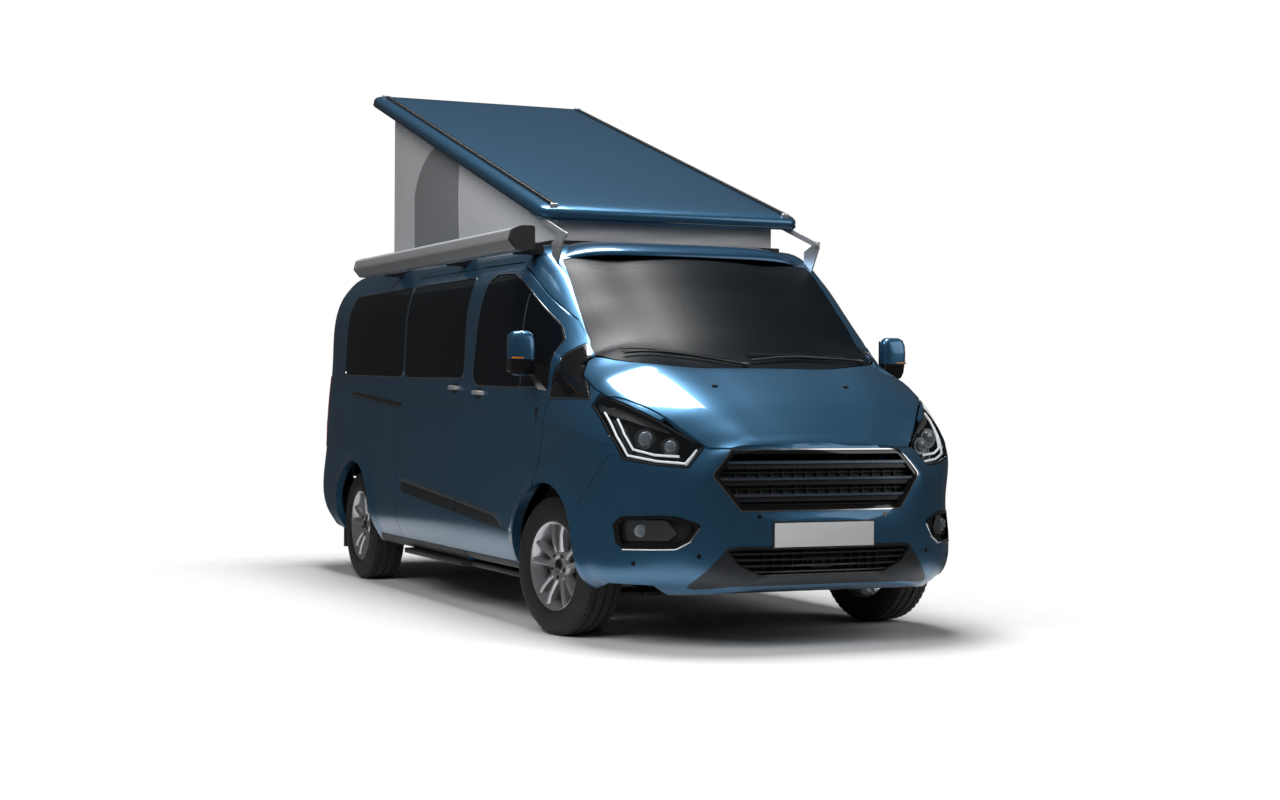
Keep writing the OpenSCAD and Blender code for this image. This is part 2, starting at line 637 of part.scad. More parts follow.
/* Lifting roof */
module at_roof_hinge() { translate([0, at(roof_hinge_s), roof_hinge_z]) children(); }
module raised() { at_roof_hinge() rotate([roof_angle, 0, 0]) translate([0, -at(roof_hinge_s), -roof_hinge_z]) children(); }
closed_z = 2003;
module roof_outline(inset) {
    offset(60, $fn = 32) offset(-60) polygon([
        [-(roof_half_w - inset), at(roof_front_s + inset)], [roof_half_w - inset, at(roof_front_s + inset)],
        [roof_half_w - 12 - inset, at(roof_front_s + roof_len - inset)], [-(roof_half_w - 12 - inset), at(roof_front_s + roof_len - inset)]]);
}
module lifting_roof() {
    color(paint) raised() difference() {
        hull() {
            translate([0, 0, closed_z]) linear_extrude(roof_shell_h - 34) roof_outline(0);
            translate([0, 0, closed_z]) linear_extrude(roof_shell_h - 12) roof_outline(46);
            translate([0, 0, closed_z]) linear_extrude(roof_shell_h) roof_outline(160);
        }
        hull() {
            translate([0, 0, closed_z - 1]) linear_extrude(roof_shell_h - 34 - roof_shell_t) roof_outline(roof_shell_t);
            translate([0, 0, closed_z - 1]) linear_extrude(roof_shell_h - roof_shell_t) roof_outline(180);
        }
    }
}
bellows_top_z = closed_z + 30;              // where the bellows meets the closed roof shell
frame_top_z = closed_z - 16;                // top of the fixed frame around the roof opening
module bellows() {
    color("lightgray") difference() {
        intersection() {
            block(-640, 640, 762, 3698, frame_top_z + seat_gap, 3300);
            raised() block(-2000, 2000, -500, 4500, 1000, bellows_top_z);
            raised() block(-640, 640, roof_front_s + 40, roof_front_s + roof_len - 60, 1000, 2200);
        }
        block(-632, 632, 770, 3690, 1900, 3400);
    }
}
module bellows_frame() {
    color("black") difference() {
        block(-670, 670, 735, 3730, 1925, frame_top_z);
        block(-600, 600, 800, 3660, 1900, 2100);
        envelope(-seat_gap);
    }
}
hinge_arm_x = 728;                          // middle of a roof hinge arm
module roof_hinge_pin(x, len, r) {
    translate([x - len / 2, at(roof_hinge_s), roof_hinge_z]) rotate([0, 90, 0]) cylinder(r = r, h = len);
}
module roof_hinge_arms() {
    color("silver") raised() mirrored_pair() difference() {
        union() {
            block(hinge_arm_x - 5, hinge_arm_x + 5, roof_hinge_s, roof_front_s + 260, roof_hinge_z - 14, closed_z - seat_gap);
            roof_hinge_pin(hinge_arm_x, 10, 16);
        }
        roof_hinge_pin(hinge_arm_x, 30, lid_pin_r + run_gap);
    }
}
module roof_hinge_brackets() {
    color("dimgray") mirrored_pair() {
        roof_hinge_pin(hinge_arm_x + 1, 22, lid_pin_r);
        difference() {
            side_prism([
                [roof_hinge_s - 16, roof_hinge_z - 16], [roof_hinge_s - 16, roof_hinge_z + 14],
                [roof_hinge_s + 14, roof_hinge_z + 14], [roof_hinge_s + 150, roof_hinge_z - 30],
                [roof_hinge_s + 150, top_z(roof_hinge_s + 150, hinge_arm_x + 8) + 8 * seat_gap],
                [roof_hinge_s + 80, top_z(roof_hinge_s + 80, hinge_arm_x + 8) + 8 * seat_gap]],
                hinge_arm_x + 8, hinge_arm_x + 16);
            roof_hinge_pin(hinge_arm_x, 60, lid_pin_r);
        }
    }
}
module roof_cap() {
    color(paint) difference() {
        hull() {
            block(-640, 640, 452, 470, 1905, 1925);
            block(-700, 700, 560, 728, 1880, 1978);
        }
        envelope(-seat_gap);
    }
}

/* Awning */
awning_x = 918;                             // inner side of the awning box
awning_z = 1905;                            // underside of the awning box
module awning_box() {
    color("silver") translate([-awning_x, at(awning_front_s), awning_z]) rotate([-90, 0, 0]) rotate([0, 0, 180])
        linear_extrude(awning_len) offset(14, $fn = 24) offset(-14)
            polygon([[0, 0], [awning_d - 40, 0], [awning_d, awning_h * 0.4], [awning_d - 14, awning_h * 0.85],
                [awning_d - 60, awning_h], [0, awning_h]]);
}
module awning_brackets() {
    color("dimgray") for (s = [620, 1700, 2900]) difference() {
        block(-awning_x + seat_gap, -770, s, s + 60, 1860, 1960);
        envelope(-seat_gap);
        block(-awning_x - 10, -awning_x + 200, s - 1, s + 61, 1800, 1898);
    }
}

/* Running gear */
module tyre(sgn, y) {
    color([0.08, 0.08, 0.08]) translate([sgn * hub_x, y, tyre_r]) rotate([0, 90, 0]) rotate_extrude($fn = 96)
        polygon([[rim_r - 6, -tyre_w / 2 + 20], [rim_r + 12, -tyre_w / 2 + 4], [tyre_r - 60, -tyre_w / 2], [tyre_r - 16, -tyre_w / 2 + 14],
            [tyre_r, -tyre_w / 2 + 40], [tyre_r, tyre_w / 2 - 40], [tyre_r - 16, tyre_w / 2 - 14], [tyre_r - 60, tyre_w / 2],
            [rim_r + 12, tyre_w / 2 - 4], [rim_r - 6, tyre_w / 2 - 20]]);
}
module rim(sgn, y) {
    w = tyre_w / 2;
    color("silver") translate([sgn * hub_x, y, tyre_r]) rotate([0, sgn * 90, 0]) difference() {
        rotate_extrude($fn = 96) polygon([[hub_bore_r + run_gap, 20], [hub_bore_r + run_gap, 66], [80, 70], [rim_r - 30, 62], [rim_r - 8, w - 21],
            [rim_r - 6.3, w - 21], [rim_r - 6.3, -w + 21], [rim_r - 24, -w + 21], [rim_r - 28, 40], [90, 44], [70, 20]]);
        for (i = [0 : 9]) rotate([0, 0, 36 * i]) translate([145, 0, 0]) cylinder(r = 26, h = 120);
    }
}
module stub(sgn, y, x0) {
    translate([sgn * x0, y, tyre_r]) rotate([0, sgn * 90, 0]) cylinder(r = hub_bore_r, h = hub_x + 66 - x0);
}
kingpin_x = hub_x - 80;
kingpin_r = 22;
arm_top_z = tyre_r - 134;                   // top of the lower arm
strut_foot_z = tyre_r + 170;                // underside of the strut's foot
module steered(sgn) {
    translate([sgn * kingpin_x, front_axle_y, 0]) rotate([0, 0, steer_rest])
        translate([-sgn * kingpin_x, -front_axle_y, 0]) children();
}
module knuckle(sgn) {
    color("gray") steered(sgn) {
        stub(sgn, front_axle_y, kingpin_x);
        translate([sgn * (hub_x - 30), front_axle_y, tyre_r]) rotate([0, sgn * 90, 0]) cylinder(r = 60, h = 35);
        translate([sgn * kingpin_x, front_axle_y, arm_top_z + seat_gap])
            cylinder(r = kingpin_r, h = strut_foot_z - arm_top_z - 2 * seat_gap);
        translate([sgn * kingpin_x - 40, front_axle_y - 30, tyre_r - 50]) cube([80, 60, 100]);
    }
}
axle_r = 45;
spring_z = tyre_r + axle_r + 2;
module rear_axle() {
    color("dimgray") {
        translate([-700, rear_axle_y, tyre_r]) rotate([0, 90, 0]) cylinder(r = axle_r, h = 1400);
        mirrored_pair() {
            stub(1, rear_axle_y, 690);
            // Leaf spring on the axle, with its shackles up to the chassis rail
            block(rail_x - 32, rail_x + 32, wheelbase - 600, wheelbase + 600, spring_z, spring_z + 18);
            block(rail_x - 38, rail_x + 38, wheelbase - 60, wheelbase + 60, tyre_r, spring_z + 1);
            for (s = [-600, 580])
                block(rail_x - 20, rail_x + 20, wheelbase + s, wheelbase + s + 20, spring_z, rail_z - seat_gap);
        }
    }
}
strut_x = kingpin_x - 76;
module front_subframe() {
    color("dimgray") {
        block(-520, 520, -120, 160, arm_top_z - 18, arm_top_z);
        mirrored_pair() {
            hull() {
                block(480, 500, -100, 140, arm_top_z - 18, arm_top_z);
                translate([kingpin_x, front_axle_y, arm_top_z - 18]) cylinder(r = 35, h = 18);
            }
            block(rail_x - 30, rail_x + 30, 0, 60, arm_top_z - 1, rail_z - seat_gap);
            block(strut_x - 20, kingpin_x + kingpin_r, -22, 22, strut_foot_z, strut_foot_z + 17);
            translate([strut_x, front_axle_y, strut_foot_z + 16])
                cylinder(r = 20, h = tyre_r + arch_r + 28 - seat_gap - strut_foot_z - 17);
        }
    }
}
module wheel_housings() {
    color([0.06, 0.06, 0.06]) for (s = [0, wheelbase]) mirrored_pair()
        translate([560, at(s), tyre_r]) rotate([0, 90, 0]) difference() {
            cylinder(r = arch_r + 34, h = 320, $fn = 64);
            translate([0, 0, -1]) cylinder(r = arch_r + 28, h = 322, $fn = 64);
            translate([-8, -600, -1]) cube([600, 1200, 322]);
        }
}
module engine_block() {
    color("gray") {
        block(-330, 330, -640, -200, 420, 980);
        block(-430 + seat_gap, 430 - seat_gap, -480, -400, 430, 470);
    }
}
pipe_z = 372;
module exhaust() {
    color("gray") {
        translate([-250, at(200), pipe_z]) rotate([-90, 0, 0]) cylinder(r = 28, h = 2700);
        translate([-250, at(1400), pipe_z - 20]) rotate([-90, 0, 0]) cylinder(r = 62, h = 600);
        for (s = [700, 2700]) block(-255, -245, s, s + 30, pipe_z, floor_z - seat_gap);
    }
}
module fuel_tank() { block(140, 420, 1500, 2400, 270, floor_z - seat_gap); }
module water_tank() { block(-760, -530, 1650, 2500, 300, floor_z - seat_gap); }

module floor_tanks() {
    color("gainsboro") {
        fuel_tank();
        water_tank();
    }
}

/* Inside */
dash_top_z = 1215;
module dashboard() {
    color([0.15, 0.15, 0.16]) difference() {
        hull() {
            block(-740, 740, 60, 330, 1030, dash_top_z - 70);
            block(-740, 740, -30, 120, dash_top_z - 70, dash_top_z);
            block(-740, 740, 60, 200, 880, 1030);
        }
        column(1, run_gap + seat_gap);
    }
}
wheel_tilt = 37;                            // lean of the steering column from upright
column_r = 30;
module at_wheel() { translate([420, at(500), 1200]) rotate([-wheel_tilt, 0, 0]) children(); }
module column(extra, g = 0) { at_wheel() translate([0, 0, -450 - extra]) cylinder(r = column_r + g, h = 390 + extra); }
module steering_column() {
    color([0.1, 0.1, 0.1]) {
        column(0);
        at_wheel() translate([0, 0, -61]) cylinder(r = 12, h = 72);
        block(390, 450, -30, 250, 845, 865);
    }
}
module steering_wheel() {
    color([0.1, 0.1, 0.1]) at_wheel() difference() {
        union() {
            rotate_extrude($fn = 64) translate([180, 0]) circle(r = 15, $fn = 24);
            for (a = [0, 120, 240]) rotate([0, 0, a + 90]) translate([0, -15, -6]) cube([172, 30, 12]);
            translate([0, 0, -30]) cylinder(r = 55, h = 50);
        }
        translate([0, 0, -31]) cylinder(r = 12 + run_gap, h = 43.5);
    }
}
module seat(x) {
    translate([x, at(870), 0]) {
        translate([-240, -250, 740]) cube([480, 500, 130]);
        translate([-230, 180, 790]) rotate([-12, 0, 0]) cube([460, 120, 620]);
        translate([-130, 320, 1380]) cube([260, 90, 200]);
        translate([-180, -180, floor_top]) cube([360, 380, 185]);
    }
}
module front_seats() { color([0.2, 0.2, 0.22]) for (x = [-430, 430]) seat(x); }
module rear_bench() {
    color([0.25, 0.25, 0.27]) {
        block(-450, 540, 2450, 2950, floor_top, 940);
        block(-450, 540, 2900, 3050, 900, 1500);
    }
}
module kitchen_unit() { color([0.8, 0.78, 0.72]) block(560, 830, 1500, wheelbase - arch_r - 45, floor_top, 1240); }

floor_pan();
chassis_fittings();
bulkhead();
body_side_left();
body_side_right();
sliding_door();
roof_panel();
windscreen_pillars();
pillar_trims();
front_wings();
bonnet();
windscreen();
scuttle_panel();
front_bumper();
grilles();
headlights();
fog_lights();
rear_bumper();
tail_lights();
tailgate();
tailgate_glass();
panel_hinges();
front_door(1);  // front_door_left
front_door(-1);  // front_door_right
front_door_glass(1);  // front_door_glass_left
front_door_glass(-1);  // front_door_glass_right
side_windows();
side_mirror(1);  // mirror_left
side_mirror(-1);  // mirror_right
roof_cap();
bellows_frame();
roof_hinge_brackets();
roof_hinge_arms();
lifting_roof();
bellows();
awning_box();
awning_brackets();
wheel_housings();
knuckle(1);  // knuckle_left
knuckle(-1);  // knuckle_right
steered(1) rim(1, front_axle_y);  // rim_front_left
steered(-1) rim(-1, front_axle_y);  // rim_front_right
rim(1, rear_axle_y);  // rim_rear_left
rim(-1, rear_axle_y);  // rim_rear_right
steered(1) tyre(1, front_axle_y);  // tyre_front_left
steered(-1) tyre(-1, front_axle_y);  // tyre_front_right
tyre(1, rear_axle_y);  // tyre_rear_left
tyre(-1, rear_axle_y);  // tyre_rear_right
front_subframe();
rear_axle();
engine_block();
exhaust();
floor_tanks();
dashboard();
steering_column();
steering_wheel();
front_seats();
rear_bench();
kitchen_unit();
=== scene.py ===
import json
import math
import random

import bpy
import bmesh
import numpy as np
from mathutils import Matrix, Vector
from mathutils.bvhtree import BVHTree


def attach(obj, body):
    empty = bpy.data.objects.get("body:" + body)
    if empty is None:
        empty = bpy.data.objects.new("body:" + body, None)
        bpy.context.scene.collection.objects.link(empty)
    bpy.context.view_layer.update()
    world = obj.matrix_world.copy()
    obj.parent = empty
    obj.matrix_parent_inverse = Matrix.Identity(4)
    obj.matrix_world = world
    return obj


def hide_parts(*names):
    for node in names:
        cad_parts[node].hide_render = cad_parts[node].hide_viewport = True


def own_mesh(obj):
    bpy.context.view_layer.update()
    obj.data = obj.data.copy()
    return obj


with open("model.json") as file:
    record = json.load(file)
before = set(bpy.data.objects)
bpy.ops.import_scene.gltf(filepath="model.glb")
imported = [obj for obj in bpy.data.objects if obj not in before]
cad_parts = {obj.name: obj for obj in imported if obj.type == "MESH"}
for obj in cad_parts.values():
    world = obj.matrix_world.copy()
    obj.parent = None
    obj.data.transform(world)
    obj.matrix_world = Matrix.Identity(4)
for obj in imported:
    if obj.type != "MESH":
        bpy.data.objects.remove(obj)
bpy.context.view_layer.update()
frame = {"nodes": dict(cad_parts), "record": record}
random.seed(7)
Y0 = -1.668                       # y of the front axle; s below is metres behind it
WHEELBASE = 3.3
ARCH_R = 0.405
TYRE_R = 0.338


# ---------------------------------------------------------------- camera
def camera():
    place, yaw, pitch, roll, lens = (-4.6142, -10.9697, 1.1668), 0.417163, -0.0018877, 0.0057241, 57.56
    d = Vector((math.sin(yaw) * math.cos(pitch), math.cos(yaw) * math.cos(pitch), math.sin(pitch)))
    r = Vector((math.cos(yaw), -math.sin(yaw), 0))
    u = r.cross(d)
    right = math.cos(roll) * r + math.sin(roll) * u
    up = -math.sin(roll) * r + math.cos(roll) * u
    data = bpy.data.cameras.new("camera")
    data.lens, data.sensor_width, data.clip_end = lens, 36, 200
    cam = bpy.data.objects.new("camera", data)
    cam.matrix_world = Matrix.Translation(place) @ Matrix((right, up, -d)).transposed().to_4x4()
    bpy.context.scene.collection.objects.link(cam)
    bpy.context.scene.camera = cam


camera()


# ---------------------------------------------------------------- materials
class Socket:
    """An output of a node tree that takes part in plain arithmetic."""

    def __init__(self, tree, out):
        self.tree, self.out = tree, out

    def math(self, op, other=0.0, third=None):
        n = self.tree.nodes.new("ShaderNodeMath")
        n.operation = op
        self.tree.links.new(self.out, n.inputs[0])
        for i, v in ((1, other), (2, third)):
            if isinstance(v, Socket):
                self.tree.links.new(v.out, n.inputs[i])
            elif v is not None:
                n.inputs[i].default_value = v
        return Socket(self.tree, n.outputs[0])

    def __add__(self, o):
        return self.math("ADD", o)

    def __mul__(self, o):
        return self.math("MULTIPLY", o)


class Material:
    def __init__(self, name, color=(0.5, 0.5, 0.5), rough=0.5, metal=0.0, **more):
        self.mat = bpy.data.materials.new(name)
        self.mat.use_nodes = True
        self.tree = self.mat.node_tree
        self.bsdf = self.tree.nodes["Principled BSDF"]
        self.set("Base Color", (*color, 1))
        self.set("Roughness", rough)
        self.set("Metallic", metal)
        for k, v in more.items():
            self.set(k.replace("_", " "), v)
        self.mat.diffuse_color = (*color, 1)

    def set(self, name, value):
        if isinstance(value, Socket):
            self.tree.links.new(value.out, self.bsdf.inputs[name])
        else:
            self.bsdf.inputs[name].default_value = value

    def node(self, kind, output=0, links=(), **values):
        n = self.tree.nodes.new("ShaderNode" + kind)
        for k, v in values.items():
            key = k.replace("_", " ")
            if key in n.inputs:
                n.inputs[key].default_value = v
            else:
                setattr(n, k, v)
        for key, s in links:
            self.tree.links.new(s.out, n.inputs[key])
        return Socket(self.tree, n.outputs[output])

    def place(self):
        return self.node("TexCoord", "Object")

    def mix(self, factor, a, b):
        n = self.tree.nodes.new("ShaderNodeMix")
        n.data_type = "RGBA"
        self.tree.links.new(factor.out, n.inputs["Factor"])
        ends = [i for i in n.inputs if i.type == "RGBA"]
        for socket, c in zip(ends, (a, b)):
            socket.default_value = (*c, 1)
        return Socket(self.tree, [o for o in n.outputs if o.type == "RGBA"][0])

    def bump(self, height, strength=0.3, distance=0.001):
        self.set("Normal", self.node("Bump", links=[("Height", height)], Strength=strength,
                Distance=distance))


def noise(m, scale, detail=2.0):
    return m.node("TexNoise", "Fac", links=[("Vector", m.place())], Scale=scale, Detail=detail)


M = {}


def material(name, *a, **k):
    M[name] = Material(name, *a, **k)
    return M[name]


paint = material("paint", (0.05, 0.165, 0.3), 0.3, 0.72, Coat_Weight=0.8, Coat_Roughness=0.03)
paint.bump(noise(paint, 900, 1), 0.06, 0.0003)
material("roof_paint", (0.022, 0.09, 0.18), 0.28, 0.6, Coat_Weight=0.8, Coat_Roughness=0.02)
m = material("underbody", (0.022, 0.022, 0.024), 0.7)
m.bump(noise(m, 60), 0.25, 0.002)
m = material("black_plastic", (0.02, 0.021, 0.023), 0.5)
m.bump(noise(m, 1400, 1), 0.15, 0.0003)
material("gloss_black", (0.008, 0.008, 0.009), 0.08, Coat_Weight=0.6)
material("dark_grille", (0.05, 0.055, 0.062), 0.3, 0.65)
material("bar_blue", (0.11, 0.145, 0.18), 0.28, 0.7)
material("chrome", (0.78, 0.79, 0.8), 0.1, 1.0)
material("satin", (0.5, 0.51, 0.52), 0.32, 1.0)
material("silver", (0.6, 0.61, 0.63), 0.4, 0.6)
material("alloy", (0.62, 0.63, 0.65), 0.3, 0.85, Coat_Weight=0.5)
material("steel", (0.35, 0.35, 0.36), 0.4, 0.9)
material("dark_steel", (0.035, 0.036, 0.038), 0.55, 0.3)
material("tank", (0.5, 0.51, 0.52), 0.55)
material("trim_grey", (0.035, 0.036, 0.038), 0.6)
material("plate", (0.82, 0.83, 0.84), 0.35)
material("red_lens", (0.3, 0.008, 0.012), 0.1, Coat_Weight=1.0)
material("white_lens", (0.8, 0.81, 0.82), 0.15)
material("light_guide", (0.9, 0.92, 0.95), 0.2, Emission_Color=(0.9, 0.95, 1, 1), Emission_Strength=0.35)
material("amber", (0.8, 0.28, 0.02), 0.2)
material("projector", (0.25, 0.3, 0.34), 0.03, 0.2, Coat_Weight=1.0)
material("lamp", (0.03, 0.035, 0.04), 0.02, Alpha=0.1)
material("dark_glass", (0.003, 0.005, 0.008), 0.04, Alpha=0.97, Specular_IOR_Level=0.28)
# screen_glass is near black and nearly opaque: painted shade of the dim cab seen through the windscreen
material("screen_glass", (0.004, 0.007, 0.010), 0.32, Alpha=0.88, Specular_IOR_Level=0.16)
material("frit", (0.006, 0.006, 0.007), 0.15)
material("mirror_glass", (0.6, 0.62, 0.64), 0.02, 1.0)
m = material("tyre", (0.018, 0.018, 0.018), 0.72)
m.bump(noise(m, 300), 0.2, 0.0006)
m = material("canvas", (0.8, 0.81, 0.83), 0.85, Sheen_Weight=0.15)
weave = m.node("TexWave", "Fac", links=[("Vector", m.place())], Scale=420.0)
m.bump(weave + noise(m, 14, 3) * 2.0, 0.25, 0.002)
m = material("mesh_screen", (0.33, 0.34, 0.355), 0.9)
m.bump(m.node("TexVoronoi", "Distance", links=[("Vector", m.place())], Scale=260.0), 0.4, 0.001)
m = material("seat_cloth", (0.05, 0.05, 0.056), 0.9, Sheen_Weight=0.2)
m.bump(noise(m, 500), 0.3, 0.0006)
m = material("furniture", (0.5, 0.48, 0.44), 0.45)
grain = m.node("TexNoise", "Fac", links=[("Vector", m.node("Mapping", links=[("Vector", m.place())],
        Scale=(3, 40, 3)))], Scale=4.0)
m.set("Base Color", m.mix(grain, (0.42, 0.4, 0.36), (0.56, 0.54, 0.5)))


# ---------------------------------------------------------------- mesh helpers
# A part is a pair of lists: points (x, s, z) and faces.
def join(*parts):
    points, faces = [], []
    for p, f in parts:
        n = len(points)
        points += [tuple(v) for v in p]
        faces += [tuple(i + n for i in face) for face in f]
    return points, faces


def mirrored(part):
    return [(-x, s, z) for x, s, z in part[0]], [tuple(reversed(f)) for f in part[1]]


def both(part):
    return join(part, mirrored(part))


def outward(part):
    points, faces = part
    p = np.array(points)
    volume = sum(float(np.dot(p[f[0]], np.cross(p[f[i]], p[f[i + 1]]))) for f in faces for i in range(1,
            len(f) - 1))
    return part if volume > 0 else (points, [tuple(reversed(f)) for f in faces])


def rounded(points, r, n=5):
    out = []
    for i in range(len(points)):
        p = np.array(points[i], float)
        a, b = np.array(points[i - 1], float) - p, np.array(points[(i + 1) % len(points)], float) - p
        la, lb = np.linalg.norm(a), np.linalg.norm(b)
        a, b = a / la, b / lb
        half = math.acos(max(-1, min(1, float(a @ b)))) / 2
        d = min(r / math.tan(max(half, 0.05)), la * 0.45, lb * 0.45)
        for k in range(n + 1):
            t = k / n
            out.append(tuple((1 - t) ** 2 * (p + a * d) + 2 * t * (1 - t) * p + t * t * (p + b * d)))
    return out


def grown(points, g):
    """The outline moved outwards by g."""
    p = np.array(points, float)
    area = sum(p[i - 1][0] * p[i][1] - p[i][0] * p[i - 1][1] for i in range(len(p)))
    sign = 1 if area > 0 else -1
    out = []
    for i in range(len(p)):
        e1, e2 = p[i] - p[i - 1], p[(i + 1) % len(p)] - p[i]
        n1 = np.array((e1[1], -e1[0])) / (np.linalg.norm(e1) + 1e-9)
        n2 = np.array((e2[1], -e2[0])) / (np.linalg.norm(e2) + 1e-9)
        k = max(0.35, 1 + float(n1 @ n2))
        out.append(tuple(p[i] + sign * g * (n1 + n2) / k))
    return out


def prism(points, way, lo, hi):
    """A closed prism. way is the direction it runs: x for (s, z) points, s for (x, z), z for (x, s)."""
    place = {"x": lambda a, b, t: (t, a, b), "s": lambda a, b, t: (a, t, b), "z": lambda a, b, t: (a, b,
            t)}[way]
    n = len(points)
    p = [place(a, b, lo) for a, b in points] + [place(a, b, hi) for a, b in points]
    faces = [tuple(range(n)), tuple(range(2 * n - 1, n - 1, -1))]
    faces += [(i, n + i, n + (i + 1) % n, (i + 1) % n) for i in range(n)]
    return outward((p, faces))


def block(x0, x1, s0, s1, z0, z1, r=0.0, steps=2):
    bm = bmesh.new()
    bmesh.ops.create_cube(bm, size=1)
    for v in bm.verts:
        v.co = Vector((x0 if v.co.x < 0 else x1, s0 if v.co.y < 0 else s1, z0 if v.co.z < 0 else z1))
    if r:
        bmesh.ops.bevel(bm, geom=bm.edges[:], offset=r, affect="EDGES", segments=steps, profile=0.5,
                material=-1)
    return from_bmesh(bm)


def from_bmesh(bm):
    bmesh.ops.recalc_face_normals(bm, faces=bm.faces[:])
    bm.verts.index_update()
    part = [tuple(v.co) for v in bm.verts], [tuple(v.index for v in f.verts) for f in bm.faces]
    bm.free()
    return part


def tube(path, r, n=10, closed=False):
    """A round bar along points (x, s, z); r is one radius or one for each point."""
    p = np.array(path, float)
    radii = r if hasattr(r, "__len__") else [r] * len(p)
    points, side = [], None
    for i in range(len(p)):
        a = p[i - 1] if (i or closed) else p[i]
        b = p[(i + 1) % len(p)] if (closed or i < len(p) - 1) else p[i]
        d = (b - a) / np.linalg.norm(b - a)
        if side is None:
            side = np.cross(d, (0, 0, 1) if abs(d[2]) < 0.9 else (1, 0, 0))
        side = side - d * (side @ d)
        side /= np.linalg.norm(side)
        up = np.cross(side, d)
        for k in range(n):
            a = 2 * math.pi * k / n
            points.append(tuple(p[i] + radii[i] * (math.cos(a) * side + math.sin(a) * up)))
    rows = len(p)
    faces = [(i * n + k, i * n + (k + 1) % n, ((i + 1) % rows) * n + (k + 1) % n, ((i + 1) % rows) * n + k)
             for i in range(rows if closed else rows - 1) for k in range(n)]
    if not closed:
        faces += [tuple(reversed(range(n))), tuple(range((rows - 1) * n, rows * n))]
    return outward((points, faces))


def revolve(profile, centre, steps=72, way=1.0):
    """A closed ring of (radius, x) points turned about the X axis through centre."""
    n = len(profile)
    points = [(centre[0] + way * x, centre[1] + r * math.cos(2 * math.pi * i / steps),
            centre[2] + r * math.sin(2 * math.pi * i / steps))
              for i in range(steps) for r, x in profile]
    faces = [(i * n + k, i * n + (k + 1) % n, ((i + 1) % steps) * n + (k + 1) % n, ((i + 1) % steps) * n + k)
             for i in range(steps) for k in range(n)]
    return outward((points, faces))


def disc(centre, r, depth, direction, n=32, dome=0.0):
    """A round plug from centre along direction, its face domed."""
    d = Vector(direction).normalized()
    a = d.orthogonal().normalized()
    b = d.cross(a)
    c = Vector(centre)
    rings = [(0.0, r), (depth, r)] + [(depth + dome * math.sin(t), r * math.cos(t)) for t in (0.4, 0.8,
            1.2)] * (dome > 0)
    points = [tuple(c + d * h + (a * math.cos(2 * math.pi * k / n) + b * math.sin(2 * math.pi * k / n)) * q)
              for h, q in rings for k in range(n)]
    m = len(rings)
    faces = [(i * n + k, i * n + (k + 1) % n, (i + 1) * n + (k + 1) % n, (i + 1) * n + k)
            for i in range(m - 1) for k in range(n)]
    faces += [tuple(reversed(range(n))), tuple(range((m - 1) * n, m * n))]
    return outward((points, faces))


def loft(rings, closed_ends=True):
    """Closed rings of the same count joined in turn."""
    n = len(rings[0])
    points = [tuple(p) for ring in rings for p in ring]
    faces = [(i * n + k, i * n + (k + 1) % n, (i + 1) * n + (k + 1) % n, (i + 1) * n + k)
             for i in range(len(rings) - 1) for k in range(n)]
    if closed_ends:
        faces += [tuple(reversed(range(n))), tuple(range((len(rings) - 1) * n, len(rings) * n))]
    return outward((points, faces))


def moved(part, f):
    return [f(*p) for p in part[0]], part[1]


def to_object(name, part):
    me = bpy.data.meshes.new(name)
    me.from_pydata([(x, s + Y0, z) for x, s, z in part[0]], [], part[1])
    me.update()
    ob = bpy.data.objects.new(name, me)
    bpy.context.scene.collection.objects.link(ob)
    return ob


def place_piece(ob, mat, body, replaces=()):
    ob.data.materials.clear()
    ob.data.materials.append(M[mat].mat)
    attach(ob, body)
    if replaces:
        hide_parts(*([replaces] if isinstance(replaces, str) else replaces))
    return ob


def piece(name, mat, body, *parts, replaces=(), angle=38):
    ob = to_object(name, join(*parts))
    ob.data.shade_smooth()
    ob.data.set_sharp_from_angle(angle=math.radians(angle))
    return place_piece(ob, mat, body, replaces)


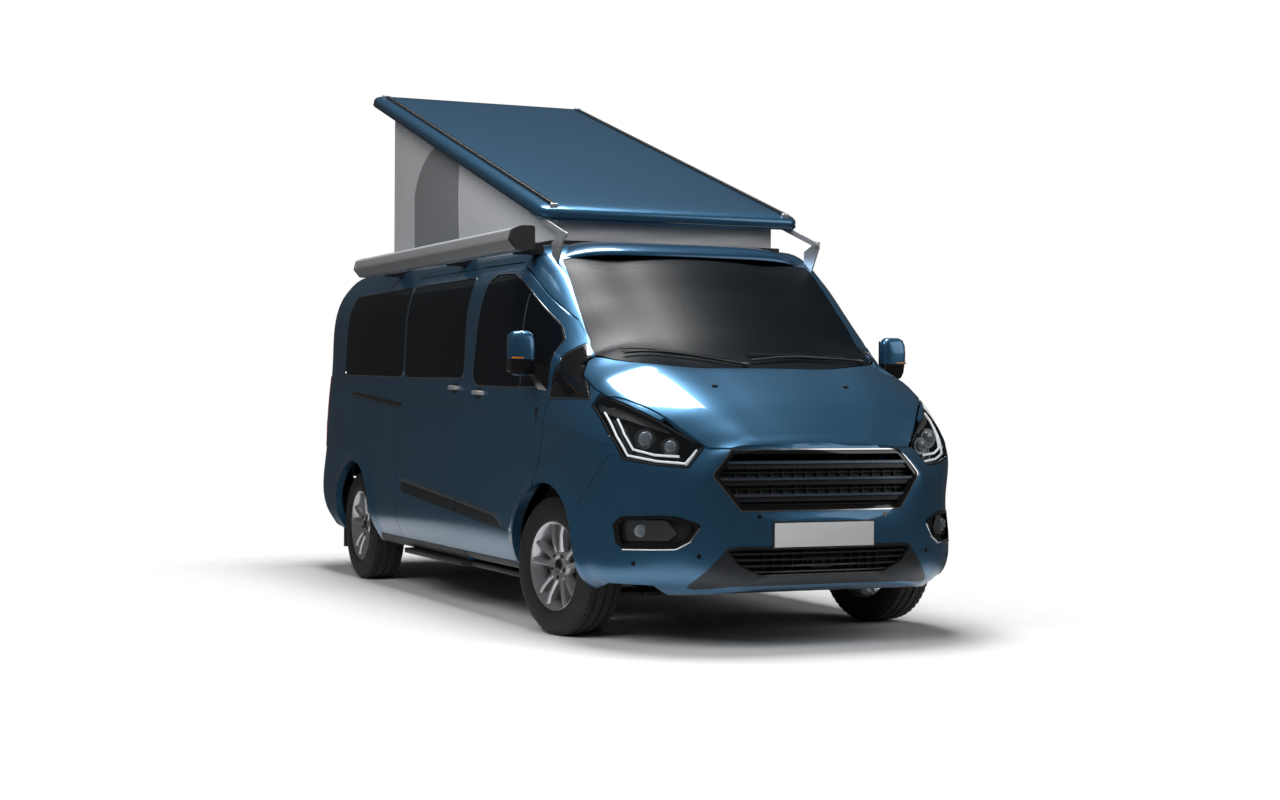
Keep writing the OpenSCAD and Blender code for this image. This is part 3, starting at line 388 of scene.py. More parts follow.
# ---------------------------------------------------------------- body surface
# Sections in mm: s, underside z, sill x, then x and z of the widest line low and high, belt, roof edge,
# roof shoulder, and last the crown z.
SECTIONS = [
  [-1002,  400,  150,  190,  430,  240,  560,  220,  588,  170,  598,  100,  604,  607],
  [ -985,  345,  280,  330,  390,  385,  590,  360,  622,  290,  640,  160,  650,  654],
  [ -960,  300,  390,  445,  350,  500,  600,  480,  700,  410,  780,  240,  832,  846],
  [ -932,  280,  460,  520,  330,  572,  610,  552,  800,  470,  890,  300,  932,  942],
  [ -870,  262,  560,  625,  310,  690,  625,  640,  830,  550,  912,  400,  978, 1000],
  [ -800,  255,  640,  715,  300,  772,  645,  745,  850,  630,  965,  450, 1034, 1058],
  [ -700,  250,  740,  812,  300,  846,  670,  846,  880,  730, 1040,  500, 1116, 1136],
  [ -600,  250,  815,  884,  300,  905,  690,  915,  915,  800, 1095,  540, 1182, 1200],
  [ -500,  250,  860,  926,  303,  942,  705,  938,  970,  845, 1135,  570, 1238, 1254],
  [ -400,  250,  882,  948,  306,  964,  716,  948, 1025,  868, 1172,  600, 1284, 1300],
  [ -330,  250,  890,  958,  312,  974,  724,  950, 1055,  874, 1204,  640, 1312, 1316],
  [ -100,  255,  915,  972,  330,  985,  750,  953, 1120,  888, 1270,  785, 1352, 1478],
  [  200,  262,  925,  980,  350,  993,  780,  956, 1180,  868, 1495,  788, 1580, 1704],
  [  469,  266,  930,  980,  360,  993,  800,  957, 1215,  852, 1720,  782, 1805, 1900],
  [  700,  268,  930,  980,  360,  993,  820,  957, 1235,  845, 1850,  778, 1925, 1950],
  [ 1000,  268,  930,  980,  360,  993,  830,  958, 1245,  845, 1865,  780, 1932, 1964],
  [ 3376,  275,  930,  980,  360,  993,  850,  958, 1262,  846, 1865,  782, 1932, 1964],
  [ 4016,  300,  915,  966,  380,  978,  860,  946, 1275,  838, 1860,  776, 1926, 1956],
  [ 4186,  330,  885,  930,  400,  944,  870,  916, 1282,  815, 1845,  756, 1908, 1936],
  [ 4252,  360,  840,  880,  430,  892,  880,  868, 1286,  785, 1815,  730, 1876, 1902],
  [ 4276,  390,  780,  815,  470,  826,  890,  808, 1290,  740, 1770,  690, 1828, 1850]]
TAIL_S = 4.276


def slopes(x, y):
    """Tangents of a monotone cubic through points (x, y)."""
    h = np.diff(x)[:, None]
    d = np.diff(y, axis=0) / h
    t = np.zeros_like(y)
    same = d[:-1] * d[1:] > 0
    w1, w2 = 2 * h[1:] + h[:-1], h[1:] + 2 * h[:-1]
    with np.errstate(divide="ignore", invalid="ignore"):
        t[1:-1] = np.where(same, (w1 + w2) / (w1 / d[:-1] + w2 / d[1:]), 0)
    t[0], t[-1] = d[0], d[-1]
    return t


def hermite(x, y, t, at):
    i = np.clip(np.searchsorted(x, at, "right") - 1, 0, len(x) - 2)
    h = (x[i + 1] - x[i])[:, None]
    u = ((at - x[i]) / (x[i + 1] - x[i]))[:, None]
    return ((2 * u ** 3 - 3 * u ** 2 + 1) * y[i] + (u ** 3 - 2 * u ** 2 + u) * h * t[i]
            + (3 * u ** 2 - 2 * u ** 3) * y[i + 1] + (u ** 3 - u ** 2) * h * t[i + 1])


def body_grid():
    rows = np.array(SECTIONS, float) / 1000
    control = []
    for r in rows:
        control.append([(0, r[0], r[1]), (r[2], r[0], r[1]), (r[3], r[0], r[4]), (r[5], r[0], r[6]), (r[7],
                r[0], r[8]),
                        (r[9], r[0], r[10]), (r[11], r[0], r[12]), (r[11] / 2, r[0],
                (r[12] + 3 * r[13]) / 4), (0, r[0], r[13])])
    control = np.array(control)
    steps = np.linalg.norm(np.diff(control[:, 2:], axis=0), axis=2).mean(axis=1)
    u = np.concatenate([[0], np.cumsum(steps)])
    flat = control.reshape(len(u), -1)
    s_to_u = lambda s: float(np.interp(s, rows[:, 0], u))
    coarse = 1.0
    marks = [(-1.002, 0.014), (-0.1, 0.02), (1.0, 0.05), (3.3, 0.03), (4.0, 0.016), (TAIL_S, 0)]
    at = [0.0]
    for (s0, step), (s1, _) in zip(marks, marks[1:]):
        a, b = s_to_u(s0), s_to_u(s1)
        n = max(2, int((b - a) / step / coarse))
        at += [a + (b - a) * k / n for k in range(1, n + 1)]
    lines = hermite(u, flat, slopes(u, flat), np.array(at)).reshape(len(at), 9, 3)
    counts = [3, 5, 22, 26, 26, 8, 12, 9]
    grid = []
    for line in lines:
        p = line[:, [0, 2]]
        chord = np.concatenate([[0], np.cumsum(np.linalg.norm(np.diff(p[1:], axis=0), axis=1))])
        d = np.diff(p[1:], axis=0) / np.diff(chord)[:, None]
        h = np.diff(chord)[:, None]
        t = np.zeros((8, 2))
        t[1:-1] = (d[:-1] * h[1:] + d[1:] * h[:-1]) / (h[1:] + h[:-1])
        t[0], t[-1] = d[0], np.array((-1.0, 0.0)) * np.linalg.norm(d[-1])
        where = np.concatenate([np.linspace(chord[i], chord[i + 1], n, endpoint=False) for i,
                n in enumerate(counts[1:])] + [[chord[-1]]])
        curve = hermite(chord, p[1:], t, where)
        start = np.array([p[0] + (p[1] - p[0]) * k / counts[0] for k in range(counts[0])])
        ring = np.vstack([start, curve])
        grid.append(np.column_stack([ring[:, 0], np.full(len(ring), line[0, 1]), ring[:, 1]]))
    return np.array(grid)


def smooth(a, b, v):
    t = np.clip((v - a) / (b - a), 0, 1)
    return t * t * (3 - 2 * t)


def shaped(g):
    """Adds the shoulder crease and the wheel arch flares to the plain surface."""
    g = g.copy()
    x, s, z = g[..., 0], g[..., 1], g[..., 2]
    crease = np.interp(s, [-0.70, -0.2, 1.3, 3.47, 4.1], [0.935, 0.995, 1.113, 1.262, 1.29])
    below = crease - z
    fade = smooth(-0.72, -0.5, s) * (1 - smooth(3.9, 4.15, s))
    side = smooth(0.72, 0.8, x)
    dx = -0.008 * smooth(0.0, 0.022, below) * (1 - smooth(0.03, 0.26, below)) * fade * side
    for centre in (0.0, WHEELBASE):
        r = np.hypot(s - centre, z - TYRE_R)
        dx = dx + 0.016 * (1 - smooth(ARCH_R + 0.008, ARCH_R + 0.085, r)) * side * smooth(0.2, 0.3, z)
    g[..., 0] = x + dx
    return g


def closed_body(half):
    """The half grid mirrored into closed rings, with end caps."""
    rows, n, _ = half.shape
    other = half[:, n - 2:0:-1] * (-1, 1, 1)
    ring = np.concatenate([half, other], axis=1)
    m = ring.shape[1]
    i, k = np.meshgrid(np.arange(rows - 1), np.arange(m), indexing="ij")
    faces = np.stack([i * m + k, i * m + (k + 1) % m, (i + 1) * m + (k + 1) % m, (i + 1) * m + k],
            -1).reshape(-1, 4)
    faces = [tuple(f) for f in faces.tolist()]
    for row, flip in ((0, False), (rows - 1, True)):
        base = row * m
        for k in range(n - 1):
            a, b = base + k, base + k + 1
            c, d = base + (m - k - 1) % m, base + (m - k) % m
            f = [v for v in (a, d, c, b)] if k else [a, c, b]
            if k == n - 2:
                f = [a, d, b]
            f = list(dict.fromkeys(f))
            faces.append(tuple(reversed(f)) if flip else tuple(f))
    return [tuple(v) for v in ring.reshape(-1, 3).tolist()], faces


base_part = closed_body(shaped(body_grid()))
base = to_object("base_surface", base_part)
bm = bmesh.new()
bm.from_mesh(base.data)
bmesh.ops.recalc_face_normals(bm, faces=bm.faces[:])
bm.to_mesh(base.data)
bm.free()
base.data.shade_smooth()
base.data.set_sharp_from_angle(angle=math.radians(50))
base.data.calc_loop_triangles()
corner = np.zeros(len(base.data.loops) * 3, np.float32)
base.data.corner_normals.foreach_get("vector", corner)
corner = corner.reshape(-1, 3)
base_co = np.array([v.co for v in base.data.vertices])
base_normal = np.array([v.normal for v in base.data.vertices])
tri_v = [tuple(t.vertices) for t in base.data.loop_triangles]
tri_l = [tuple(t.loops) for t in base.data.loop_triangles]
tree = BVHTree.FromPolygons([tuple(c) for c in base_co], tri_v)
base_faces = [tuple(f.vertices) for f in base.data.polygons]


def skin_normal(co, reach):
    hit, _, index, distance = tree.find_nearest(co, reach)
    if hit is None:
        return None
    a, b, c = (Vector(base_co[i]) for i in tri_v[index])
    e1, e2, w = b - a, c - a, hit - a
    d11, d12, d22, w1, w2 = e1 @ e1, e1 @ e2, e2 @ e2, w @ e1, w @ e2
    den = d11 * d22 - d12 * d12
    if den == 0:
        return None
    v, q = (d22 * w1 - d12 * w2) / den, (d11 * w2 - d12 * w1) / den
    n = corner[list(tri_l[index])]
    return Vector(tuple((1 - v - q) * n[0] + v * n[1] + q * n[2])).normalized()


SHELLS = {}


def shell(a, b):
    """The body's skin from depth a to depth b as one closed hollow mesh."""
    key = (a, b)
    if key not in SHELLS:
        n = len(base_co)
        points = np.vstack([base_co - base_normal * a, base_co - base_normal * b])
        faces = base_faces + [tuple(i + n for i in reversed(f)) for f in base_faces]
        me = bpy.data.meshes.new("shell")
        me.from_pydata([tuple(p) for p in points.tolist()], [], faces)
        SHELLS[key] = me
    return SHELLS[key]


nothing = bpy.data.meshes.new("nothing")
scratch = bpy.data.objects.new("tool", nothing)
bpy.context.scene.collection.objects.link(scratch)


def cut(ob, part, op):
    me = bpy.data.meshes.new("tool")
    me.from_pydata([(x, s + Y0, z) for x, s, z in part[0]], [], part[1])
    scratch.data = me
    mod = ob.modifiers.new("cut", "BOOLEAN")
    mod.object, mod.operation, mod.solver = scratch, op, "MANIFOLD"
    bpy.context.view_layer.update()
    done = bpy.data.meshes.new_from_object(ob.evaluated_get(bpy.context.evaluated_depsgraph_get()))
    ob.modifiers.clear()
    ob.data = done
    scratch.data = nothing
    bpy.data.meshes.remove(me)


def skin_piece(name, mat, body, depth, keep, remove=(), replaces=()):
    """A panel: the body's skin inside the keep parts and outside the remove parts."""
    ob = bpy.data.objects.new(name, shell(*depth).copy())
    bpy.context.scene.collection.objects.link(ob)
    for part in keep:
        cut(ob, part, "INTERSECT")
    for part in remove:
        cut(ob, part, "DIFFERENCE")
    me = ob.data
    if not len(me.polygons):
        raise SystemExit(name + " is empty")
    reach = max(depth[1], 0) + 0.003 + max(-depth[0], 0)
    at = [skin_normal(v.co, reach) for v in me.vertices]
    normals = []
    for poly in me.polygons:
        fn = poly.normal
        for v in poly.vertices:
            n = at[v]
            dot = n.dot(fn) if n is not None else 0
            normals.append(n if dot > 0.8 else -n if dot < -0.8 else fn.copy())
    me.shade_smooth()
    me.normals_split_custom_set([tuple(n) for n in normals])
    return place_piece(ob, mat, body, replaces)


def surface(x, s, out=0.0):
    """The point of the outer skin under (x, s) from above, raised by out, with its normal."""
    hit, n, index, _ = tree.ray_cast(Vector((x, s + Y0, 4)), Vector((0, 0, -1)))
    if hit is None:
        raise SystemExit("no surface at %.3f %.3f" % (x, s))
    n = skin_normal(hit, 0.01) or n
    p = hit + n * out
    return (p.x, p.y - Y0, p.z), n


def side_surface(s, z, sign=1, out=0.0):
    hit, n, index, _ = tree.ray_cast(Vector((sign * 3, s + Y0, z)), Vector((-sign, 0, 0)))
    n = skin_normal(hit, 0.01) or n
    p = hit + n * out
    return (p.x, p.y - Y0, p.z), n


def front_surface(x, z, out=0.0):
    hit, n, index, _ = tree.ray_cast(Vector((x, -1.5 + Y0, z)), Vector((0, 1, 0)))
    n = skin_normal(hit, 0.01) or n
    p = hit + n * out
    return (p.x, p.y - Y0, p.z), n


# ---------------------------------------------------------------- panel outlines, mm turned into m
def mm(points):
    return [(a / 1000, b / 1000) for a, b in points]


DOOR = mm([[150, 250], [150, 700], [135, 760], [62, 1150], [72, 1335], [22, 1428], [152, 1545], [590, 1800],
        [720, 1858],
           [1340, 1862], [1340, 250]])
DOOR_GAP = mm([[143, 200], [143, 700], [128, 760], [55, 1150], [65, 1333], [12, 1430], [148, 1552], [586,
        1807],
               [717, 1865], [1400, 1869], [1400, 200]])
TRIM = mm([[-355, 1150], [56, 1152], [63, 1333], [14, 1424]])
DOOR_WINDOW = mm([[110, 1212], [122, 1360], [108, 1440], [180, 1512], [600, 1752], [735, 1806], [985, 1812],
                  [1075, 1780], [1140, 1560], [1190, 1300], [1160, 1245], [1100, 1222], [640, 1212]])
SLIDER = mm([[1270, 262], [1270, 1862], [2445, 1862], [2440, 1300], [2390, 262]])
SLIDER_GAP = mm([[1200, 200], [1200, 1866], [2451, 1866], [2446, 1300], [2396, 262], [2396, 200]])
SLIDE_WINDOW = mm([[1345, 1262], [1325, 1812], [2420, 1812], [2418, 1272]])
QUARTER = mm([[2452, 1275], [2452, 1812], [3640, 1800], [3700, 1740], [3728, 1330], [3700, 1295]])
GRILLE = mm([[-443, 928], [443, 928], [549, 809], [420, 642], [-420, 642], [-549, 809]])
LAMP = mm([[540, 938], [632, 838], [760, 848], [875, 872], [905, 985], [914, 1130], [898, 1196], [872, 1180]])
FOG = mm([[588, 585], [632, 505], [690, 468], [872, 460], [898, 490], [902, 575], [880, 612], [760, 624],
        [690, 620]])
INTAKE = mm([[-400, 474], [400, 474], [490, 470], [430, 400], [330, 345], [-330, 345], [-430, 400], [-490,
        470]])
REAR_WINDOW = mm([[-640, 1310], [640, 1310], [645, 1400], [600, 1745], [560, 1775], [-560, 1775], [-600,
        1745], [-645, 1400]])
TAILGATE = mm([[742, 610], [752, 900], [748, 1290], [722, 1700], [690, 1850], [640, 2000], [0, 2010]])


def base_curve(x, s0):
    return s0 + 290 * (x / 790) ** 6


def top_curve(x, s0):
    return s0 + 70 * (x / 720) ** 2


SCREEN_HALF = mm([(x, base_curve(x, -350)) for x in range(0, 721, 60)] + [(770, -74), (712, 505)]
                 + [(x, top_curve(x, 440)) for x in range(600, -1, -120)])
BONNET_HALF = mm([(0, -926), (300, -922), (440, -906), (530, -862), (640, -742), (760, -584), (850, -440),
        (872, -330),
                  (866, -175), (812, -100), (780, base_curve(780, -372))] + [(x, base_curve(x, -372))
        for x in range(720, -1, -60)])
BONNET_GAP = mm([(0, -940), (300, -934), (445, -914), (536, -868), (646, -747), (767, -588), (857, -444),
        (879, -331),
                 (873, -171), (818, -94), (0, -94)])


def ring_pair(half):
    """Outline through half points with x >= 0 that start and end on the centre plane."""
    inner = [p for p in half if p[0] > 0]
    ends = [p for p in half if p[0] == 0]
    return [ends[0]] + inner + ([ends[1]] if len(ends) > 1 else []) + [(-x, b) for x, b in reversed(inner)]


SCREEN = ring_pair(SCREEN_HALF)
BONNET = ring_pair(BONNET_HALF)
BONNET_CUT = prism(ring_pair(BONNET_GAP), "z", 0.8, 1.5)
ARCHES = [revolve([(0.0005, -1.3), (ARCH_R, -1.3), (ARCH_R, 1.3), (0.0005, 1.3)], (0, c, TYRE_R), 96)
        for c in (0.0, WHEELBASE)]
LAMP_CUT = both(prism(rounded(LAMP, 0.014), "s", -1.1, -0.38))
FOG_CUT = both(prism(rounded(FOG, 0.022), "s", -1.2, -0.5))
UNDER = block(-0.872, 0.872, -0.3, 4.4, 0.1, 0.48)
WINDOW_R = 0.05


def side_part(points, sign, r=0.0):
    p = rounded(points, r) if r else points
    return prism(p, "x", 0.5 if sign > 0 else -1.3, 1.3 if sign > 0 else -0.5)


def reach_part(sign, r):
    ring = [(sign * 0.972 + r * math.cos(2 * math.pi * k / 192),
            0.185 + r * math.sin(2 * math.pi * k / 192)) for k in range(192)]
    return prism(ring, "z", 0.1, 1.868)


# ---------------------------------------------------------------- body panels
SIDE_T = 0.045
CANT_Z = 1.893
TAIL_LAMP = both(block(0.762, 1.2, TAIL_S - 0.12, TAIL_S + 0.06, 0.82, 1.29))
TAILGATE_IN = prism(ring_pair([(0, 0.61)] + TAILGATE), "s", TAIL_S - 0.076, TAIL_S + 0.1)
TAILGATE_GAP = prism(grown(ring_pair([(0, 0.61)] + TAILGATE), 0.006), "s", TAIL_S - 0.089, TAIL_S + 0.1)
BUMPER_CUT = block(-0.742, 0.742, TAIL_S - 0.2, TAIL_S + 0.05, 0.2, 1.6)


def side_panel(sign, name):
    x0, x1 = (0.55, 1.2) if sign > 0 else (-1.2, -0.55)
    zone = block(x0, x1, 1.293, TAIL_S + 0.05, 0.2, CANT_Z)
    remove = [UNDER, ARCHES[1], TAILGATE_GAP, BUMPER_CUT, TAIL_LAMP, side_part(QUARTER, sign, WINDOW_R)]
    if sign > 0:
        remove.append(side_part(SLIDE_WINDOW, sign, WINDOW_R))
    else:
        remove.append(side_part(SLIDER_GAP, sign))
    return skin_piece(name, "paint", "body", (0, SIDE_T), [zone], remove, name)


side_panel(1, "body_side_left")
side_panel(-1, "body_side_right")
skin_piece("sliding_door", "paint", "body", (0, SIDE_T),
        [side_part([(max(a, 1.2925), b) for a, b in SLIDER], -1)],
           [side_part(SLIDE_WINDOW, -1, WINDOW_R), UNDER], "sliding_door")
skin_piece("roof_panel", "paint", "body", (0, 0.022),
        [block(-0.9, 0.9, 0.508, TAIL_S + 0.05, CANT_Z + 0.001, 2.2)],
           [block(-0.56, 0.56, 1.05, 3.5, 1.7, 2.2), prism(SCREEN, "z", 1.6, 2.2), TAILGATE_GAP],
        "roof_panel")
NOSE_T = 0.012
skin_piece("bonnet", "paint", "bonnet", (0, NOSE_T), [prism(BONNET, "z", 0.88, 1.5)], [LAMP_CUT], "bonnet")
wing_zone = both(prism(mm([[-604, 896], [-375, 668], [-299, 601], [128, 601], [128, 760], [55, 1149], [-358,
        1149],
                           [-158, 1338], [-128, 1396], [-700, 1396], [-700, 896]]), "x", 0.64, 1.2))
SCREEN_FOOT = prism(ring_pair([(0, -0.45)] + [(x + 0.004, s - 0.003) for x, s in SCREEN_HALF
        if s < 0 and x > 0] + [(0, 0.0)]), "z", 1.1, 1.5)
skin_piece("front_wings", "paint", "body", (0, NOSE_T), [wing_zone], [BONNET_CUT, ARCHES[0], LAMP_CUT,
        SCREEN_FOOT], "front_wings")
bumper_zone = prism(mm([[-1100, 200], [-1100, 960], [-700, 960], [-700, 896], [-605, 893], [-376, 666],
        [-300, 600], [-300, 200]]), "x", -1.1, 1.1)
skin_piece("front_bumper", "paint", "body", (0, NOSE_T), [bumper_zone],
           [prism(rounded(GRILLE, 0.02), "s", -1.2, -0.7), LAMP_CUT, FOG_CUT, prism(rounded(INTAKE, 0.014),
        "s", -1.2, -0.7),
            BONNET_CUT, ARCHES[0], block(-0.9, 0.9, -0.76, -0.2, 0.2, 0.3), block(-0.443, 0.443, -1.1, -0.9,
        0.912, 1.0)], "front_bumper")

pillar_zone = block(-1.2, 1.2, -0.17, 1.2915, 1.2, CANT_Z)
pillar_hole = prism(ring_pair([(0, -0.9)] + [p for p in SCREEN_HALF if p[0] > 0.70] + [(0, 0.505)]), "z",
        0.9, 2.1)
skin_piece("windscreen_pillars", "paint", "body", (0, SIDE_T), [pillar_zone],
           [pillar_hole, block(-0.64, 0.64, -0.2, 2.0, 0.9, 2.2),
            prism([(-0.88, -0.9), (0.88, -0.9), (0.88, -0.166), (0.824, -0.082), (-0.824, -0.082), (-0.88,
        -0.166)], "z", 0.9, 1.5),
            both(prism(DOOR_GAP, "x", 0.5, 1.3)),
        both(prism([(a - 0.003, b) for a, b in TRIM], "x", 0.5, 1.3)),
            both(prism(mm([[-700, 900], [60, 900], [60, 1154], [-361, 1150], [-158, 1339], [-126, 1400],
        [-700, 1400]]), "x", 0.5, 1.3))],
           "windscreen_pillars")
TRIM_FOOT = block(-0.835, 0.835, -0.2, -0.076, 1.0, 1.5)
skin_piece("pillar_trims", "gloss_black", "body", (0.001, 0.02), [both(prism(TRIM, "x", 0.5, 1.3))],
        [BONNET_CUT, TRIM_FOOT], "pillar_trims")
skin_piece("pillar_trim_edges", "chrome", "body", (-0.0015, 0.004), [both(prism(TRIM, "x", 0.5, 1.3))],
           [BONNET_CUT, TRIM_FOOT, both(prism(grown(TRIM, -0.009), "x", 0.4, 1.4))])
# the windscreen's near-black, nearly opaque glass is painted shade of the cab behind it
skin_piece("windscreen", "screen_glass", "body", (0.003, 0.008), [prism(SCREEN, "z", 1.2, 1.94)],
        [both(prism(DOOR_GAP, "x", 0.5, 1.3))], "windscreen")
screen_inner = ring_pair([(0, -0.27)] + [(x, s + 0.085) for x, s in SCREEN_HALF
        if x > 0 and s < -0.12 and x < 0.7]
                         + [(0.712, 0.0), (0.655, 0.46), (0.55, 0.415), (0.3, 0.39), (0, 0.385)])
skin_piece("windscreen_border", "frit", "body", (0.0085, 0.0095), [prism(SCREEN, "z", 1.2, 1.94)],
           [prism(screen_inner, "z", 1.0, 2.1), both(prism(DOOR_GAP, "x", 0.5, 1.3))])
scuttle = ring_pair(mm([(x, base_curve(x, -366)) for x in range(0, 601, 60)] + [(x, base_curve(x, -300))
        for x in range(600, -1, -60)]))
skin_piece("scuttle_panel", "black_plastic", "body", (0.009, 0.03), [prism(scuttle, "z", 1.1, 1.6)], (),
        "scuttle_panel")

# cab doors and their glass
for sign, side in ((1, "left"), (-1, "right")):
    door = "front_door_" + side
    ring = reach_part(sign, 1.107)
    skin_piece(door, "paint", door, (0, SIDE_T), [side_part(DOOR, sign), ring],
               [side_part(DOOR_WINDOW, sign, 0.035), ARCHES[0], UNDER, block(-1.3, 1.3, -0.2, 1.4, 0.2,
            0.285),
                block(sign * 0.82 - 0.12, sign * 0.82 + 0.12, 0.0, 0.197, 0.85, 0.91),
            block(sign * 0.82 - 0.12, sign * 0.82 + 0.12, 0.0, 0.197, 1.04, 1.1)], door)
    skin_piece("front_door_glass_" + side, "dark_glass", door, (0.003, 0.008),
            [side_part(grown(DOOR_WINDOW, -0.0005), sign, 0.035)], (),
               "front_door_glass_" + side)
    skin_piece("window_seal_" + side, "chrome", door, (-0.001, 0.007),
            [side_part(grown(DOOR_WINDOW, 0.006), sign, 0.04)],
               [side_part(grown(DOOR_WINDOW, -0.001), sign, 0.035)])

glass = [side_part(QUARTER, 1, WINDOW_R), side_part(QUARTER, -1, WINDOW_R), side_part(SLIDE_WINDOW, 1,
        WINDOW_R), side_part(SLIDE_WINDOW, -1, WINDOW_R)]
skin_piece("side_windows", "dark_glass", "body", (0.002, 0.007), [join(*glass)], (), "side_windows")
rims = [side_part(grown(p, 0.005), sign, WINDOW_R) for p in (QUARTER, SLIDE_WINDOW) for sign in (1, -1)]
holes = [side_part(grown(p, -0.001), sign, WINDOW_R) for p in (QUARTER, SLIDE_WINDOW) for sign in (1, -1)]
skin_piece("side_window_edges", "chrome", "body", (-0.001, 0.006), [join(*rims)], [join(*holes)])

# tailgate
skin_piece("tailgate", "paint", "tailgate", (0, SIDE_T), [TAILGATE_IN],
        [prism(rounded(REAR_WINDOW, 0.05), "s", TAIL_S - 0.3, TAIL_S + 0.1),
           both(block(0.405, 0.455, TAIL_S - 0.1, TAIL_S - 0.058, 1.892, 2.0))], "tailgate")
skin_piece("tailgate_glass", "dark_glass", "tailgate", (0.003, 0.008),
        [prism(rounded(REAR_WINDOW, 0.05), "s", TAIL_S - 0.2, TAIL_S + 0.05)], (), "tailgate_glass")
skin_piece("tail_lights", "red_lens", "body", (-0.004, 0.03),
        [both(block(0.763, 1.2, TAIL_S - 0.119, TAIL_S + 0.06, 0.821, 1.289))], (), "tail_lights")

# ---------------------------------------------------------------- nose details
BONNET_TOP = prism(ring_pair(BONNET_GAP), "z", 0.872, 1.5)


def front_part(points, r=0.0, s0=-1.2, s1=-0.7):
    return prism(rounded(points, r) if r else points, "s", s0, s1)


skin_piece("grille_frame", "chrome", "body", (-0.003, 0.02), [front_part(GRILLE, 0.02)],
        [front_part(grown(GRILLE, -0.006), 0.016), BONNET_TOP])
skin_piece("grille_band", "gloss_black", "body", (0.003, 0.03), [front_part(grown(GRILLE, -0.006), 0.016)],
           [front_part(grown(GRILLE, -0.024), 0.012), BONNET_TOP])
skin_piece("grille_mesh", "black_plastic", "body", (0.045, 0.05),
        [front_part(grown(GRILLE, -0.004), 0.016)], [BONNET_TOP], "grilles")
bars, lips = [], []
for z in (0.706, 0.781, 0.856):
    bars.append(block(-0.53, 0.53, -1.2, -0.7, z - 0.02, z + 0.003))
    lips.append(block(-0.53, 0.53, -1.2, -0.7, z + 0.0032, z + 0.015))
opening = front_part(grown(GRILLE, -0.02), 0.012)
skin_piece("grille_bars", "dark_grille", "body", (0.014, 0.034), [opening, join(*bars)], [BONNET_TOP])
skin_piece("grille_bar_lips", "bar_blue", "body", (0.004, 0.03), [opening, join(*lips)], [BONNET_TOP])
fins = [block(-0.5, 0.5, -1.2, -0.7, z, z + 0.005) for z in (0.668, 0.74, 0.815, 0.893)]
posts = [block(x - 0.003, x + 0.003, -1.2, -0.7, 0.65, 0.9) for x in np.linspace(-0.42, 0.42, 15)]
skin_piece("grille_fins", "black_plastic", "body", (0.03, 0.04), [opening, join(*fins)], [BONNET_TOP])
skin_piece("grille_posts", "black_plastic", "body", (0.032, 0.044), [opening, join(*posts)], [BONNET_TOP])

plate = [block(-0.26, 0.26, -1.0095, -1.0045, 0.4785, 0.5895, 0.002)]
piece("number_plate", "plate", "body", *plate)
piece("plate_holder", "black_plastic", "body", block(-0.268, 0.268, -1.0045, -0.975, 0.470, 0.597, 0.004))
surround = mm([[-420, 486], [420, 486], [476, 480], [560, 380], [640, 292], [600, 284], [430, 300], [-430,
        300], [-600, 284],
               [-640, 292], [-560, 380], [-476, 480]])
skin_piece("lower_surround", "dark_grille", "body", (-0.003, 0.006), [front_part(surround, 0.01)],
        [front_part(INTAKE, 0.014), block(-0.9, 0.9, -0.76, -0.2, 0.2, 0.3)])
skin_piece("intake_frame", "gloss_black", "body", (-0.001, 0.02), [front_part(INTAKE, 0.014)],
        [front_part(grown(INTAKE, -0.008), 0.01)])
skin_piece("intake_back", "black_plastic", "body", (0.04, 0.044), [front_part(INTAKE, 0.014)])
slats = [block(-0.5, 0.5, -1.2, -0.7, z - 0.004, z + 0.004) for z in (0.365, 0.393, 0.421, 0.449)]
skin_piece("intake_slats", "dark_grille", "body", (0.006, 0.03), [front_part(grown(INTAKE, -0.004), 0.01),
        join(*slats)])
fins = [block(x - 0.004, x + 0.004, -1.2, -0.7, 0.34, 0.476) for x in np.linspace(-0.3, 0.3, 13)]
skin_piece("intake_fins", "black_plastic", "body", (0.026, 0.038), [front_part(grown(INTAKE, -0.01), 0.01),
        join(*fins)])


def lamp_part(points, r=0.01):
    return both(prism(rounded(points, r), "s", -1.1, -0.38))


def front_path(points, out, n=4):
    """Points (x, z) joined along the nose surface."""
    path = []
    for (x0, z0), (x1, z1) in zip(points, points[1:]):
        for k in range(n):
            path.append(front_surface(x0 + (x1 - x0) * k / n, z0 + (z1 - z0) * k / n, out)[0])
    path.append(front_surface(*points[-1], out)[0])
    return path


LAMP_KEEP = [lamp_part(grown(LAMP, -0.001), 0.014)]
skin_piece("headlamp_covers", "lamp", "body", (0.0, 0.003), LAMP_KEEP, [BONNET_CUT], "headlights")
skin_piece("headlamp_walls", "gloss_black", "body", (0.003, 0.07), LAMP_KEEP,
        [lamp_part(grown(LAMP, -0.004), 0.012), BONNET_CUT])
skin_piece("headlamp_backs", "gloss_black", "body", (0.062, 0.066), LAMP_KEEP, [BONNET_CUT])
skin_piece("headlamp_edges", "chrome", "body", (0.006, 0.022), [lamp_part(grown(LAMP, -0.005), 0.012)],
        [lamp_part(grown(LAMP, -0.012), 0.012), BONNET_CUT])
upper = mm([[640, 985], [740, 1020], [850, 1072], [930, 1135], [925, 1165], [860, 1125], [740, 1052]])
skin_piece("headlamp_reflectors", "satin", "body", (0.03, 0.036), [lamp_part(upper, 0.02)], [BONNET_CUT])
guides, lenses, bezels = [], [], []
for path in ([(0.578, 0.932), (0.643, 0.868), (0.76, 0.877), (0.862, 0.899), (0.886, 0.99), (0.892, 1.10)],
             [(0.66, 0.90), (0.76, 0.905), (0.838, 0.928), (0.857, 1.0), (0.862, 1.07)]):
    guides.append(tube(front_path(path, -0.022), 0.0055, 8))
